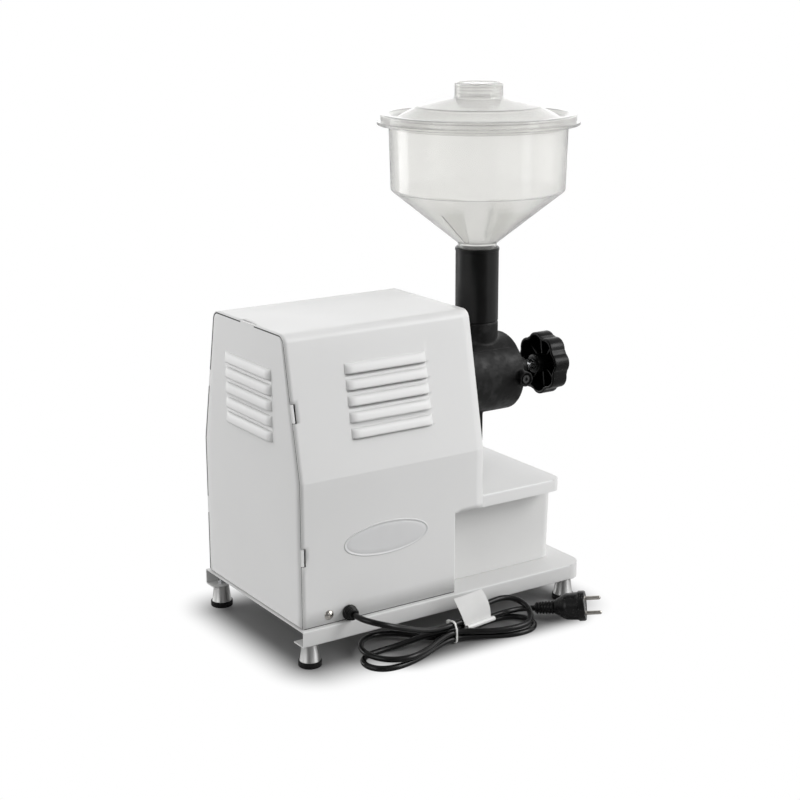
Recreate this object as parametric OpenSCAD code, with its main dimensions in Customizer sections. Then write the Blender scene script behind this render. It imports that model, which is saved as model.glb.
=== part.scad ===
// Electric coffee grinder: disc mill on a sheet cover, hopper above, collecting box below.
// Millimetres. The floor is z = 0, +Z is up, +X points to the knob, -Y is the side with the cord.

/* [Overall] */
// Length from the rear end of the tray to the front of the knob
total_len = 440; // [436:1:446]
// Height of the mill and motor axis above the floor
axis_h = 275; // [272:1:278]

/* [Base tray] */
// Length of the tray
base_len = 402; // [392:1:412]
// Width of the tray
base_w = 240; // [236:1:250]
// Height of the tray's flanges
tray_h = 19.5; // [18:0.5:22]
// Sheet thickness of the tray
tray_t = 1.5; // [1.2:0.1:2]
// Width of the return lips
lip_w = 22; // [20:0.5:26]
// Radius of the tray's front corners
tray_r = 20; // [14:1:26]

/* [Feet] */
// Height of a foot with its pad
foot_h = 27.5; // [25:0.5:30]
// Height of a rubber pad
pad_h = 7; // [6:0.5:8]
// Diameter of a rubber pad
pad_d = 27; // [26:0.5:30]
// Diameter of a foot at its top
foot_top_d = 18; // [16:0.5:20]
// Diameter of a foot at its bottom
foot_low_d = 24.5; // [23:0.5:25]
// Distance of the rear feet from the tray's rear end
foot_rear = 14.5; // [14:0.5:20]
// Distance of the front feet from the tray's front end
foot_front = 22; // [20:0.5:30]
// Distance of the feet from the tray's sides
foot_side = 12; // [10:0.5:14]

/* [Cover] */
// Distance of the cover from the tray's rear end
cover_back = 3; // [2:0.5:5]
// Distance of the cover from the tray's sides
cover_side = 5.5; // [4:0.5:7]
// Sheet thickness of the cover
cover_t = 1.2; // [1:0.1:1.5]
// Height where the sides start to lean
kink_h = 217; // [212:1:222]
// Height of the cover's top
top_h = 378.5; // [374:0.5:384]
// How far each side leans in
lean = 32.5; // [28:0.5:36]
// Radius of the top edges
top_r = 12; // [8:0.5:16]
// Radius of the crease in the sides
kink_r = 8; // [5:0.5:12]
// Gap around the rear panel
rear_gap = 1.5; // [1:0.1:2]
// Height of a panel tab
tab_h = 20; // [16:0.5:24]

/* [Louvres] */
// Length of a louvre
lv_len = 108; // [100:1:114]
// Height of a louvre
lv_h = 12; // [10:0.5:13]
// How far a louvre stands out
lv_d = 4.5; // [3:0.25:5.5]
// Distance between louvres
lv_pitch = 17.8; // [16.5:0.1:19]
// Louvres in a row
lv_n = 5; // [3:1:5]

/* [Shelf and collecting box] */
// Height of the shelf's top
shelf_h = 160.5; // [158:0.5:164]
// Depth of the shelf's flange
shelf_flange = 15; // [13:0.5:17]
// How far the shelf stands out of the cover
shelf_reach = 119; // [115:1:123]
// Radius of the shelf's front corners
shelf_r = 12; // [8:0.5:16]
// How far the bay goes under the cover
bay_depth = 39.7; // [36:0.5:44]
// How far the box stands out of the shelf
box_proud = 13; // [10:0.5:16]
// Width of the box at its top
box_w = 168; // [160:1:174]
// How much narrower each side of the box is at its bottom
box_draft = 2; // [1:0.25:3]
// Wall of the box
box_t = 2.4; // [2:0.1:3]
// Radius of the box's corners
box_r = 15; // [10:1:18]
// Gap over and behind the box
box_clear = 1.4; // [1:0.1:2]

/* [Mill] */
// Radius of the mill body
mill_r = 49; // [47:0.5:51]
// Length of the mill with its front cover
mill_len = 110.7; // [109:0.1:113]
// Thickness of the front cover
mill_cap = 15.8; // [15:0.1:17]
// Radius of the mill's bore
bore_r = 37; // [36:0.25:38]
// Running clearance of the burr carrier
slide_clear = 0.08; // [0.05:0.01:0.1]
// Distance of the feed neck from the cover
neck_x = 71.9; // [70:0.1:73]
// Radius of the feed neck and tube
neck_r = 26.4; // [26:0.1:28]
// Bore radius of the feed neck
feed_r = 18; // [16:0.5:19]
// Height of the neck above the mill's body
neck_len = 19; // [14:0.5:24]
// Length of the feed tube above the neck
tube_len = 91; // [86:0.5:93]
// Width of the discharge duct
duct_w = 50; // [44:1:56]
// Length of the discharge duct
duct_l = 59; // [56:1:62]
// Radius of the adjuster neck
nose_r = 11; // [10.5:0.5:12]
// Length of the adjuster neck
nose_len = 35; // [32:0.5:38]
// Radius of the side boss
boss_r = 9.5; // [8:0.5:10]
// Distance of the side boss's end from the axis
boss_reach = 61; // [58:0.5:64]

/* [Burrs and adjuster] */
// Radius of the burrs
burr_r = 36; // [34:0.25:36]
// Thickness of a burr
burr_t = 9; // [8:0.25:10]
// Gap between the burrs at rest
burr_gap = 1.8; // [1.7:0.05:2.4]
// Radius of the auger
auger_r = 16.5; // [15:0.25:17]
// Radius of the adjuster spindle
spindle_r = 7; // [6.5:0.25:7.5]
// Running clearance of turning pieces
run_clear = 0.06; // [0.04:0.01:0.1]
// Radius of the knob over its lobes
knob_r = 39.5; // [38:0.1:41]
// Depth of the dips between the knob's lobes
knob_dip = 3.4; // [2:0.2:4.6]
// Thickness of the knob's rim
knob_rim = 3.6; // [3:0.2:4.6]
// Thickness of the knob
knob_t = 23.5; // [21:0.5:25]
// Bare length of spindle between the adjuster neck and the knob's hub
knob_gap = 15.2; // [13:0.1:17]
// Lobes of the knob
knob_n = 8; // [6:1:10]

/* [Motor] */
// Radius of the motor
motor_r = 70; // [68:0.5:72]
// Length of the stator core
stack_len = 70; // [64:1:76]
// Radius of the rotor
rotor_r = 36; // [34:0.5:38]
// Air gap of the rotor
air_gap = 0.4; // [0.35:0.05:0.6]
// Radius of the shaft
shaft_r = 8; // [7.5:0.25:8.5]
// Fan blades
fan_n = 8; // [6:1:10]

/* [Hopper and lid] */
// Radius of the hopper's rim
rim_r = 121.3; // [120.5:0.1:124]
// Radius of the hopper's wall at its top
bowl_top_r = 107.4; // [105:0.1:109]
// Radius of the hopper's wall at its foot
bowl_low_r = 105.2; // [103:0.1:106.5]
// Height where the hopper's cone starts
cone_h = 504; // [498:1:510]
// Height of the hopper's rim
rim_h = 585.6; // [580:0.2:590]
// Wall of the hopper
hopper_t = 2; // [1.8:0.1:2.4]
// Gap between the hopper's spigot and the tube
spigot_clear = 0.35; // [0.3:0.05:0.6]
// Length of the spigot in the tube
spigot_len = 28; // [22:1:32]
// How far the lid's border reaches past the bowl's wall
lid_lip = 9.5; // [8.5:0.1:11]
// Height of the lid's rim
lid_rim = 9; // [8:0.25:10]
// Radius of the lid's grip
grip_r = 28.9; // [26:0.1:31]
// Height of the lid over the hopper's rim
lid_h = 45.2; // [42:0.2:48]

/* [Cord] */
// Diameter of the cord
cord_d = 7; // [6.5:0.1:7.1]
// Distance of the gland from the cover's rear end
gland_x = 59.5; // [56:0.5:64]
// Radius of the gland
gland_r = 9; // [8:0.5:10]
// Length of the gland outside
gland_len = 12; // [11:0.5:13]

/* [Hidden] */
$fn = 64;

// places along X: the middle of the machine's box is x = 0
hub_back = 6;
cover_len = total_len - cover_back - mill_len - nose_len - knob_gap - hub_back - knob_t;
reach = max(total_len, cover_back + cover_len + neck_x + rim_r);
xr = (max(lv_d - cover_back, 0) - reach) / 2;
xt = xr + base_len;
xc = xr + cover_back;
xf = xc + cover_len;
xb = xf - bay_depth;
xs = xf + shelf_reach;
xn = xf + neck_x;
xm = xf + mill_len;
xq = xm - mill_cap;
xk = xr + total_len;
// places along Y
hw = base_w / 2 - cover_side;
tw = hw - lean;
// places along Z
tray_top = foot_h + tray_h;
lean_tan = lean / (top_h - kink_h);
lean_deg = atan(lean_tan);
shelf_low = shelf_h - shelf_flange;
neck_h = axis_h + mill_r + neck_len;
tube_h = neck_h + tube_len;
seat_h = tube_h - spigot_len - 1;

// half width of the cover's outer face at height z
function side_y(z) = z < kink_h ? hw : hw - (z - kink_h) * lean_tan;
function unit(v) = v / norm(v);
function left(v) = [-v[1], v[0]];
function flip(l) = [for (i = [len(l) - 1:-1:0]) l[i]];
function ring_arc(c, r, a, b, n) =
  [for (i = [0:n]) c + r * [cos(a + (b - a) * i / n), sin(a + (b - a) * i / n)]];
// corner b of a path, moved t to the left of the path
function miter(a, b, c, t) =
  let (n = left(unit(b - a)), m = left(unit(c - b)))
  b + (n + m) * t / (1 + n * m);
function wrap180(a) = a > 180 ? a - 360 : a < -180 ? a + 360 : a;
// points of a rounded corner
function bend(a, b, c, r, n) =
  let (u = unit(a - b), v = unit(c - b), h = acos(u * v) / 2, m = b + unit(u + v) * r / sin(h))
  let (p = b + u * r / tan(h) - m, q = b + v * r / tan(h) - m, s = atan2(p[1], p[0]))
  ring_arc(m, r, s, s + wrap180(atan2(q[1], q[0]) - s), n);
function rounded(p, r, n) =
  concat([p[0]], [for (i = [1:len(p) - 2]) each bend(p[i - 1], p[i], p[i + 1], r[i], n)], [p[len(p) - 1]]);
function shifted(p, t) = [for (i = [0:len(p) - 1])
  i == 0 ? p[0] + left(unit(p[1] - p[0])) * t :
  i == len(p) - 1 ? p[i] + left(unit(p[i] - p[i - 1])) * t : miter(p[i - 1], p[i], p[i + 1], t)];
function shifted_r(p, r, t) = [for (i = [0:len(p) - 1])
  i == 0 || i == len(p) - 1 ? 0 : r[i] - t * sign(cross(p[i] - p[i - 1], p[i + 1] - p[i]))];
// outline of a bent sheet: a path with corner radii, and its copy moved t to the left
function sheet(p, r, t, n) = concat(rounded(p, r, n), flip(rounded(shifted(p, t), shifted_r(p, r, t), n)));
// outline of a plate with two rounded front corners
function front_plan(x0, x1, w, r) =
  concat([[x0, -w / 2]], ring_arc([x1 - r, r - w / 2], r, -90, 0, 12),
  ring_arc([x1 - r, w / 2 - r], r, 0, 90, 12), [[x0, w / 2]]);
function round_box(x0, x1, w, r) =
  concat(ring_arc([x0 + r, r - w / 2], r, 180, 270, 12), ring_arc([x1 - r, r - w / 2], r, 270, 360, 12),
  ring_arc([x1 - r, w / 2 - r], r, 0, 90, 12), ring_arc([x0 + r, w / 2 - r], r, 90, 180, 12));

// a profile in Y and Z, drawn out along X
module along_x(x, l) {
  translate([x, 0, 0])
    rotate([90, 0, 90])
      linear_extrude(l)
        children();
}
// a cylinder along X on the mill axis
module axis_cyl(x, l, r) {
  translate([x, 0, axis_h])
    rotate([0, 90, 0])
      cylinder(h = l, r = r);
}
// bolts in a ring about the mill axis: head from x forward, shank backward
module axis_bolts(x, ring, n, r, head_r, head_h, l, turn) {
  for (i = [0:n - 1])
    translate([x, 0, axis_h])
      rotate([turn + 360 * i / n, 0, 0])
        translate([0, 0, ring])
          rotate([0, 90, 0]) {
            cylinder(h = head_h, r = head_r, $fn = 6);
            translate([0, 0, -l])
              cylinder(h = l + 0.5, r = r);
          }
}
module axis_holes(x, ring, n, r, l, turn) {
  for (i = [0:n - 1])
    translate([x, 0, axis_h])
      rotate([turn + 360 * i / n, 0, 0])
        translate([0, 0, ring])
          rotate([0, 90, 0])
            cylinder(h = l, r = r);
}
module at_feet() {
  for (x = [xr + foot_rear, xt - foot_front])
    for (s = [-1, 1])
      translate([x, s * (base_w / 2 - foot_side), 0])
        children();
}

// Base tray
bolt_gap = 0.15;
foot_bolt_r = 2.5;
stand_bolt_r = 3;
saddle_bolt_r = 3;
stand_t = 2.5;
stand_half = 75;
stand_out = 104;
stand_top = axis_h - motor_r - 12;
module at_stand() {
  for (x = [stand_x + 14, stand_x + stand_len - 14])
    for (s = [-1, 1])
      translate([x, s * (stand_half + stand_out) / 2, 0])
        children();
}
tray_path = [[lip_w - base_w / 2, foot_h], [-base_w / 2, foot_h], [-base_w / 2, tray_top],
  [base_w / 2, tray_top], [base_w / 2, foot_h], [base_w / 2 - lip_w, foot_h]];
module base_tray() {
  color("gainsboro")
    difference() {
      union() {
        along_x(xr, base_len - tray_r)
          polygon(sheet(tray_path, [0, 2.2, 2.2, 2.2, 2.2, 0], -tray_t, 4));
        translate([0, 0, tray_top - tray_t])
          linear_extrude(tray_t)
            polygon(front_plan(xt - tray_r - 1, xt, base_w - 0.6, tray_r));
        translate([0, 0, foot_h])
          linear_extrude(tray_h - 0.6)
            polygon(sheet([[xt - tray_r - 0.5, -base_w / 2], [xt, -base_w / 2], [xt, base_w / 2],
              [xt - tray_r - 0.5, base_w / 2]], [0, tray_r, tray_r, 0], tray_t, 12));
      }
      at_feet()
        translate([0, 0, foot_h - 1])
          cylinder(h = tray_t + 2, r = foot_bolt_r + bolt_gap);
      at_stand()
        translate([0, 0, tray_top - tray_t - 1])
          cylinder(h = tray_t + 2, r = stand_bolt_r + bolt_gap);
    }
}

// Feet
foot_dip = 2;
foot_seat = pad_h - foot_dip;
module foot_cones() {
  color("silver")
    at_feet()
      translate([0, 0, foot_seat])
        difference() {
          cylinder(h = foot_h - foot_seat, d1 = foot_low_d, d2 = foot_top_d);
          translate([0, 0, -1])
            cylinder(h = foot_h, r = foot_bolt_r + bolt_gap);
        }
}
module foot_pads() {
  color("black")
    at_feet()
      difference() {
        cylinder(h = pad_h, d = pad_d);
        translate([0, 0, foot_seat])
          cylinder(h = pad_h, d = foot_low_d + 0.2);
        translate([0, 0, -1])
          cylinder(h = pad_h, r = 5.5);
      }
}
module foot_bolts() {
  color("dimgray")
    at_feet() {
      translate([0, 0, foot_seat - 3])
        cylinder(h = 3, r = 4.5);
      translate([0, 0, foot_seat - 0.5])
        cylinder(h = foot_h + tray_t + 5.5 - foot_seat, r = foot_bolt_r);
      translate([0, 0, foot_h + tray_t])
        cylinder(h = 4, r = 4.6, $fn = 6);
    }
}

// Cover
cover_path = [[-hw, tray_top], [-hw, kink_h], [-tw, top_h], [tw, top_h], [hw, kink_h], [hw, tray_top]];
cover_radii = [0, kink_r, top_r, top_r, kink_r, 0];
tab_z = [122, 284];
tab_deep = 5;
tab_top_w = 32;
lv_low = kink_h + 39.3;
lv_low_rear = kink_h + 35;
lv_x = xc + 126;
screw_x = xc + 33.7;
screw_z = tray_top + 11;
gx = xc + gland_x;
gz = tray_top + 9.2;
sw_x = xc + 150;
sw_z = 135;
sw_l = 22;
sw_h = 30;
function lv_out(s) = lv_d * (1 + cos(180 * s)) / 2;
lv_curve = [for (i = [0:8]) [lv_out(i / 8), lv_h * i / 8]];
module louvre() {
  translate([lv_d - lv_len / 2, 0, 0])
    rotate([90, 0, 90])
      linear_extrude(lv_len - 2 * lv_d)
        polygon(concat(lv_curve, flip([for (p = lv_curve) p - [cover_t, 0]])));
  translate([lv_len / 2 - lv_d, 0, 0])
    rotate_extrude(angle = 90)
      polygon(concat([[0, 0]], lv_curve));
  translate([lv_d - lv_len / 2, 0, 0])
    rotate([0, 0, 90])
      rotate_extrude(angle = 90)
        polygon(concat([[0, 0]], lv_curve));
}
module louvre_slot() {
  translate([lv_d - lv_len / 2, -cover_t - 1, 0])
    cube([lv_len - 2 * lv_d, cover_t + 2, lv_h]);
}
module at_side_louvres() {
  for (i = [0:lv_n - 1])
    for (s = [0, 1])
      mirror([0, s, 0])
        translate([lv_x, -side_y(lv_low + lv_pitch * i), lv_low + lv_pitch * i])
          rotate([-lean_deg, 0, 0])
            rotate([0, 0, 180])
              children();
}
module cover_shell() {
  color("whitesmoke")
    union() {
      difference() {
        along_x(xc, cover_len)
          polygon(sheet(cover_path, cover_radii, -cover_t, 8));
        at_side_louvres()
          louvre_slot();
        translate([xb, -base_w, 0])
          cube([bay_depth + 1, 2 * base_w, shelf_low]);
        for (z = tab_z)
          translate([xc - 1, -base_w, z - 0.6])
            cube([tab_deep + 1, 2 * base_w, tab_h + 1.2]);
        translate([xc - 1, -tab_top_w / 2 - 0.6, top_h - top_r])
          cube([tab_deep + 1, tab_top_w + 1.2, 2 * top_r]);
        for (s = [-1, 1])
          translate([screw_x, s * hw, screw_z])
            rotate([90, 0, 0])
              cylinder(h = 10, r = 2.5 + bolt_gap, center = true);
        translate([gx, -hw, gz])
          rotate([90, 0, 0])
            cylinder(h = 10, r = gland_r - 2 + bolt_gap, center = true);
        translate([sw_x - sw_l / 2, hw - 5, sw_z - sw_h / 2])
          cube([sw_l, 10, sw_h]);
      }
      at_side_louvres()
        louvre();
    }
}
// inside outline of the cover, moved in by g, from height z up
function cover_inside(g, z) =
  let (p = shifted(concat([[-hw, z]], [for (i = [1:4]) cover_path[i]], [[hw, z]]), -cover_t - g))
  rounded(p, [0, kink_r, max(top_r - cover_t - g, 2), max(top_r - cover_t - g, 2), kink_r, 0], 8);
module side_tab(z) {
  for (s = [0, 1])
    mirror([0, s, 0])
      along_x(xc, tab_deep - 1)
        polygon([[-side_y(z), z], [-side_y(z + tab_h), z + tab_h],
          [6 - side_y(z + tab_h), z + tab_h], [6 - side_y(z), z]]);
}
module at_rear_louvres() {
  for (i = [0:lv_n - 1])
    translate([xc, 0, lv_low_rear + lv_pitch * i])
      rotate([0, 0, 90])
        children();
}
module rear_panel() {
  color("whitesmoke")
    union() {
      difference() {
        along_x(xc, cover_t)
          polygon(cover_inside(rear_gap, tray_top + 0.8));
        at_rear_louvres()
          louvre_slot();
      }
      at_rear_louvres()
        louvre();
      for (z = tab_z)
        side_tab(z);
      translate([xc, -tab_top_w / 2, top_h - 6])
        cube([tab_deep - 1, tab_top_w, 6]);
    }
}
panel_clear = 0.3;
bell_hole_r = 22;
flange_ring = 55;
module front_panel() {
  color("whitesmoke")
    difference() {
      along_x(xf - cover_t, cover_t)
        polygon(cover_inside(panel_clear, shelf_h));
      axis_cyl(xf - 5, 10, bell_hole_r);
      axis_holes(xf - 5, flange_ring, 4, 3 + bolt_gap, 10, 45);
    }
}
module bay_wall() {
  color("whitesmoke")
    translate([xb - cover_t, cover_t + panel_clear - hw, tray_top])
      cube([cover_t, 2 * (hw - cover_t - panel_clear), shelf_h - tray_t - tray_top]);
}

// Shelf
duct_x = xf + 6.4;
duct_clear = 0.6;
module shelf() {
  color("whitesmoke")
    difference() {
      union() {
        translate([xb - cover_t, cover_t + panel_clear - hw, shelf_h - tray_t])
          cube([xf - xb + cover_t + 1, 2 * (hw - cover_t - panel_clear), tray_t]);
        along_x(xf, shelf_reach - shelf_r)
          polygon(sheet([[-hw, shelf_low], [-hw, shelf_h], [hw, shelf_h], [hw, shelf_low]],
            [0, 2.2, 2.2, 0], -tray_t, 4));
        translate([0, 0, shelf_h - tray_t])
          linear_extrude(tray_t)
            polygon(front_plan(xs - shelf_r - 1, xs, 2 * hw - 0.6, shelf_r));
        translate([0, 0, shelf_low])
          linear_extrude(shelf_flange - 0.6)
            polygon(sheet([[xs - shelf_r - 0.5, -hw], [xs, -hw], [xs, hw], [xs - shelf_r - 0.5, hw]],
              [0, shelf_r, shelf_r, 0], tray_t, 10));
      }
      translate([duct_x - duct_clear, -duct_w / 2 - duct_clear, shelf_h - 10])
        cube([duct_l + 2 * duct_clear, duct_w + 2 * duct_clear, 20]);
    }
}
box_x0 = xb + box_clear;
box_x1 = xs + box_proud;
box_top = shelf_low - box_clear;
box_h = box_top - tray_top;
box_mid = (box_x0 + box_x1) / 2;
// the box's outline, drawn in by t at its top and by the draft as well at its bottom
module box_solid(t, z) {
  l = box_x1 - box_x0 - 2 * t;
  translate([box_mid, 0, box_top])
    mirror([0, 0, 1])
      linear_extrude(box_top - z, slices = 1,
        scale = [(l - 2 * box_draft) / l, 1 - 2 * box_draft / (box_w - 2 * t)])
        polygon(round_box(-l / 2, l / 2, box_w - 2 * t, box_r - t));
}
module collecting_box() {
  color("white")
    difference() {
      box_solid(0, tray_top);
      translate([0, 0, 0.01])
        box_solid(box_t, tray_top + box_t);
    }
}

// Brackets, screws and badge
bracket_t = 2;
module cover_brackets() {
  color("silver")
    for (s = [0, 1])
      mirror([0, s, 0])
        difference() {
          union() {
            translate([screw_x - 13, cover_t - hw, tray_top])
              cube([26, bracket_t, 24]);
            translate([screw_x - 13, cover_t - hw, tray_top])
              cube([26, 16, bracket_t]);
          }
          translate([screw_x, -hw, screw_z])
            rotate([90, 0, 0])
              cylinder(h = 20, r = 2.5 + bolt_gap, center = true);
        }
}
dome_r = 5.9;
dome_h = 3.4;
module cover_screws() {
  color("silver")
    for (s = [0, 1])
      mirror([0, s, 0])
        translate([screw_x, -hw, screw_z])
          rotate([90, 0, 0])
            difference() {
              union() {
                translate([0, 0, -12])
                  cylinder(h = 12.5, r = 2.5);
                intersection() {
                  translate([0, 0, dome_h - dome_r * 1.2])
                    sphere(r = dome_r * 1.2);
                  cylinder(h = 10, r = dome_r);
                }
              }
              translate([0, 0, dome_h - 1.8])
                cylinder(h = 5, r = 1.9, $fn = 6);
            }
}
badge_l = 114;
badge_h = 40;
badge_x = xc + 111.6;
badge_z = 135.5;
badge_t = 0.8;
module badge_plate() {
  color("silver")
    translate([badge_x, -hw, badge_z])
      rotate([90, 0, 0])
        linear_extrude(badge_t)
          polygon([for (i = [0:71]) [badge_l / 2 * cos(5 * i), badge_h / 2 * sin(5 * i)]]);
}

// Motor
xe = xf - cover_t;
bell_t = 18.4;
bell_cup = 18;
xa = xe - bell_t - bell_cup;
xz = xa - stack_len;
cup_t = 4;
bear_r = 17.5;
bear_w = 11;
module stator_core() {
  color("slategray")
    difference() {
      axis_cyl(xz, stack_len, motor_r);
      axis_cyl(xz - 1, stack_len + 2, rotor_r + air_gap);
    }
}
module winding_heads() {
  color("peru")
    for (x = [xa, xz - 14])
      difference() {
        axis_cyl(x, 14, motor_r - cup_t - 6);
        axis_cyl(x - 1, 16, rotor_r + 4);
      }
}
module front_bell() {
  color("darkgray")
    difference() {
      axis_cyl(xa, bell_t + bell_cup, motor_r);
      axis_cyl(xa - 1, bell_cup + 1, motor_r - cup_t);
      axis_cyl(xa - 1, bell_t + bell_cup + 2, shaft_r + 3);
      axis_cyl(xe - bell_t - 1, bear_w + 3, bear_r + 0.01);
      axis_holes(xe - 12, flange_ring, 4, 3 + bolt_gap, 20, 45);
    }
}
module front_bearing() {
  color("lightgray")
    difference() {
      axis_cyl(xe - bell_t + 2, bear_w, bear_r - 0.02);
      axis_cyl(xe - bell_t, bear_w + 4, shaft_r + run_clear);
    }
}
rear_w = 36;
module rear_bell() {
  color("darkgray")
    difference() {
      axis_cyl(xz - rear_w, rear_w, motor_r);
      axis_cyl(xz - 18, 20, motor_r - cup_t);
      axis_cyl(xz - rear_w - 1, rear_w + 2, shaft_r + 3);
      axis_cyl(xz - 18 - bear_w - 2, bear_w + 4, bear_r + 0.01);
    }
}
module rear_bearing() {
  color("lightgray")
    difference() {
      axis_cyl(xz - 18 - bear_w - 2, bear_w, bear_r - 0.02);
      axis_cyl(xz - 50, 40, shaft_r + run_clear);
    }
}
xfan = xz - rear_w - 22;
module cooling_fan() {
  color("dimgray")
    difference() {
      union() {
        axis_cyl(xfan, 18, 16);
        axis_cyl(xfan, 2.5, 58);
        for (i = [0:fan_n - 1])
          translate([xfan, 0, axis_h])
            rotate([360 * i / fan_n, 0, 0])
              translate([0, -1, 14])
                cube([16, 2, 43]);
      }
      axis_cyl(xfan - 1, 30, shaft_r + 0.02);
    }
}
module rotor_core() {
  color("gray")
    difference() {
      axis_cyl(xz, stack_len, rotor_r);
      axis_cyl(xz - 1, stack_len + 2, shaft_r + 0.02);
    }
}
module motor_shaft() {
  color("silver")
    axis_cyl(xfan - 4, xf + 58 - xfan + 4, shaft_r);
}
saddle_w = 60;
saddle_x = xz + 4;
saddle_l = stack_len - 8;
stand_x = saddle_x - 13;
stand_len = xb - cover_t - 3 - stand_x;
module at_saddle() {
  for (x = [saddle_x + 8, saddle_x + saddle_l - 8])
    for (s = [-1, 1])
      translate([x, s * (saddle_w - 8), 0])
        children();
}
saddle_clear = 0.05;
module motor_saddle() {
  color("darkgray")
    difference() {
      translate([saddle_x, -saddle_w, stand_top])
        cube([saddle_l, 2 * saddle_w, 44]);
      axis_cyl(saddle_x - 1, saddle_l + 2, motor_r + saddle_clear);
      at_saddle()
        translate([0, 0, stand_top - 1])
          cylinder(h = 60, r = saddle_bolt_r + bolt_gap);
      for (s = [-1, 1])
        translate([saddle_x - 1, s * saddle_w - 17, stand_top + 12])
          cube([saddle_l + 2, 34, 60]);
    }
}
module saddle_bolts() {
  color("dimgray")
    at_saddle() {
      translate([0, 0, stand_top + 12])
        cylinder(h = 4, r = 5, $fn = 6);
      translate([0, 0, stand_top - stand_t - 8])
        cylinder(h = 20.5 + stand_t, r = saddle_bolt_r);
      translate([0, 0, stand_top - stand_t - 5])
        cylinder(h = 5, r = 5, $fn = 6);
    }
}
module motor_stand() {
  color("silver")
    difference() {
      along_x(stand_x, stand_len)
        polygon(concat(
          [[-stand_out, tray_top], [stand_t - stand_half, tray_top],
            [stand_t - stand_half, stand_top - stand_t]],
          [[stand_half - stand_t, stand_top - stand_t], [stand_half - stand_t, tray_top],
            [stand_out, tray_top]],
          [[stand_out, tray_top + stand_t], [stand_half, tray_top + stand_t], [stand_half, stand_top]],
          [[-stand_half, stand_top], [-stand_half, tray_top + stand_t], [-stand_out, tray_top + stand_t]]));
      at_stand()
        translate([0, 0, tray_top - 1])
          cylinder(h = 10, r = stand_bolt_r + bolt_gap);
      at_saddle()
        translate([0, 0, stand_top - 10])
          cylinder(h = 20, r = saddle_bolt_r + bolt_gap);
    }
}
module stand_bolts() {
  color("dimgray")
    at_stand() {
      translate([0, 0, tray_top + stand_t])
        cylinder(h = 4, r = 5, $fn = 6);
      translate([0, 0, tray_top - tray_t - 8])
        cylinder(h = 12 + stand_t, r = stand_bolt_r);
      translate([0, 0, tray_top - tray_t - 5])
        cylinder(h = 5, r = 5, $fn = 6);
    }
}

// Electrical pieces
cap_r = 18;
cap_x = xc + 26;
cap_y = 62;
cap_z = tray_top + cap_r + 2.05;
module run_capacitor() {
  color("lightsteelblue")
    translate([cap_x, cap_y, cap_z])
      rotate([0, 90, 0]) {
        cylinder(h = 72, r = cap_r);
        for (s = [-1, 1])
          translate([-2, s * 6 - 0.5, 71])
            cube([6, 1, 10]);
      }
}
module capacitor_clip() {
  color("silver")
    difference() {
      union() {
        translate([cap_x + 24, cap_y, cap_z])
          rotate([0, 90, 0])
            cylinder(h = 16, r = cap_r + 2);
        translate([cap_x + 24, cap_y - 32, tray_top])
          cube([16, 64, 2]);
      }
      translate([cap_x, cap_y, cap_z])
        rotate([0, 90, 0])
          cylinder(h = 80, r = cap_r + 0.05);
    }
}
module terminal_block() {
  color("ivory")
    difference() {
      translate([xc + 40, -52, tray_top])
        cube([52, 20, 18]);
      for (i = [0:4])
        translate([xc + 46 + 10 * i, -42, tray_top + 8])
          cylinder(h = 20, r = 2.4);
    }
}
sw_flange = 2;
sw_t = 2;
module switch_body() {
  color("black")
    difference() {
      union() {
        translate([sw_x - sw_l / 2 - 2, hw, sw_z - sw_h / 2 - 2])
          cube([sw_l + 4, sw_flange, sw_h + 4]);
        translate([sw_x - sw_l / 2 + 0.2, hw - 26, sw_z - sw_h / 2 + 0.2])
          cube([sw_l - 0.4, 27, sw_h - 0.4]);
      }
      translate([sw_x - sw_l / 2 + sw_t, hw - 10, sw_z - sw_h / 2 + sw_t])
        cube([sw_l - 2 * sw_t, 20, sw_h - 2 * sw_t]);
    }
}
rock_l = sw_l - 2 * sw_t - 0.8;
rock_h = sw_h - 2 * sw_t - 2.6;
rock_deg = 8;
rock_y = hw - 2;
module switch_rocker() {
  color("dimgray")
    translate([sw_x + rock_l / 2, rock_y, sw_z])
      rotate([-rock_deg, 0, 0])
        rotate([0, -90, 0])
          linear_extrude(rock_l)
            polygon([[-rock_h / 2, 1], [-rock_h / 2, 6], [0, 3.6], [rock_h / 2, 6], [rock_h / 2, 1],
              [3, -5], [-3, -5]]);
}

// Mill
flange_r = 62;
flange_t = 8;
back_t = 8;
outlet_x = xf + 10;
outlet_l = 19;
seal_r = 15;
plug_r = neck_r - 2.4;
socket = 12;
cap_ring = 43;
module mill_body() {
  color("black")
    difference() {
      union() {
        axis_cyl(xf, xq - xf, mill_r);
        axis_cyl(xf, flange_t, flange_r);
        translate([xn, 0, axis_h])
          cylinder(h = neck_h - axis_h, r = neck_r);
        translate([xn, 0, axis_h])
          cylinder(h = neck_h + socket - axis_h, r = plug_r - 0.1);
        translate([duct_x, -duct_w / 2, shelf_h - 10])
          cube([duct_l, duct_w, axis_h - shelf_h + 10]);
      }
      axis_cyl(xf + back_t, xq, bore_r);
      axis_cyl(xq, 2 * neck_r, mill_r + 0.1);
      axis_cyl(xf - 1, back_t + 2, seal_r + 0.02);
      translate([xn, 0, axis_h])
        cylinder(h = 200, r = feed_r);
      translate([outlet_x, -20, axis_h - mill_r - 5])
        cube([outlet_l, 40, mill_r]);
      translate([duct_x + 4, 4 - duct_w / 2, shelf_h - 20])
        cube([duct_l - 8, duct_w - 8, axis_h - mill_r - shelf_h + 16]);
      axis_holes(xf - 1, flange_ring, 4, 3 + bolt_gap, flange_t + 2, 45);
      axis_holes(xq - 16, cap_ring, 4, 2.5 + bolt_gap, 20, 45);
    }
}
module mill_bolts() {
  color("dimgray")
    axis_bolts(xf + flange_t, flange_ring, 4, 3, 5, 4, flange_t + cover_t + 10, 45);
}
boss_x = xm - 5.7;
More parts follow.
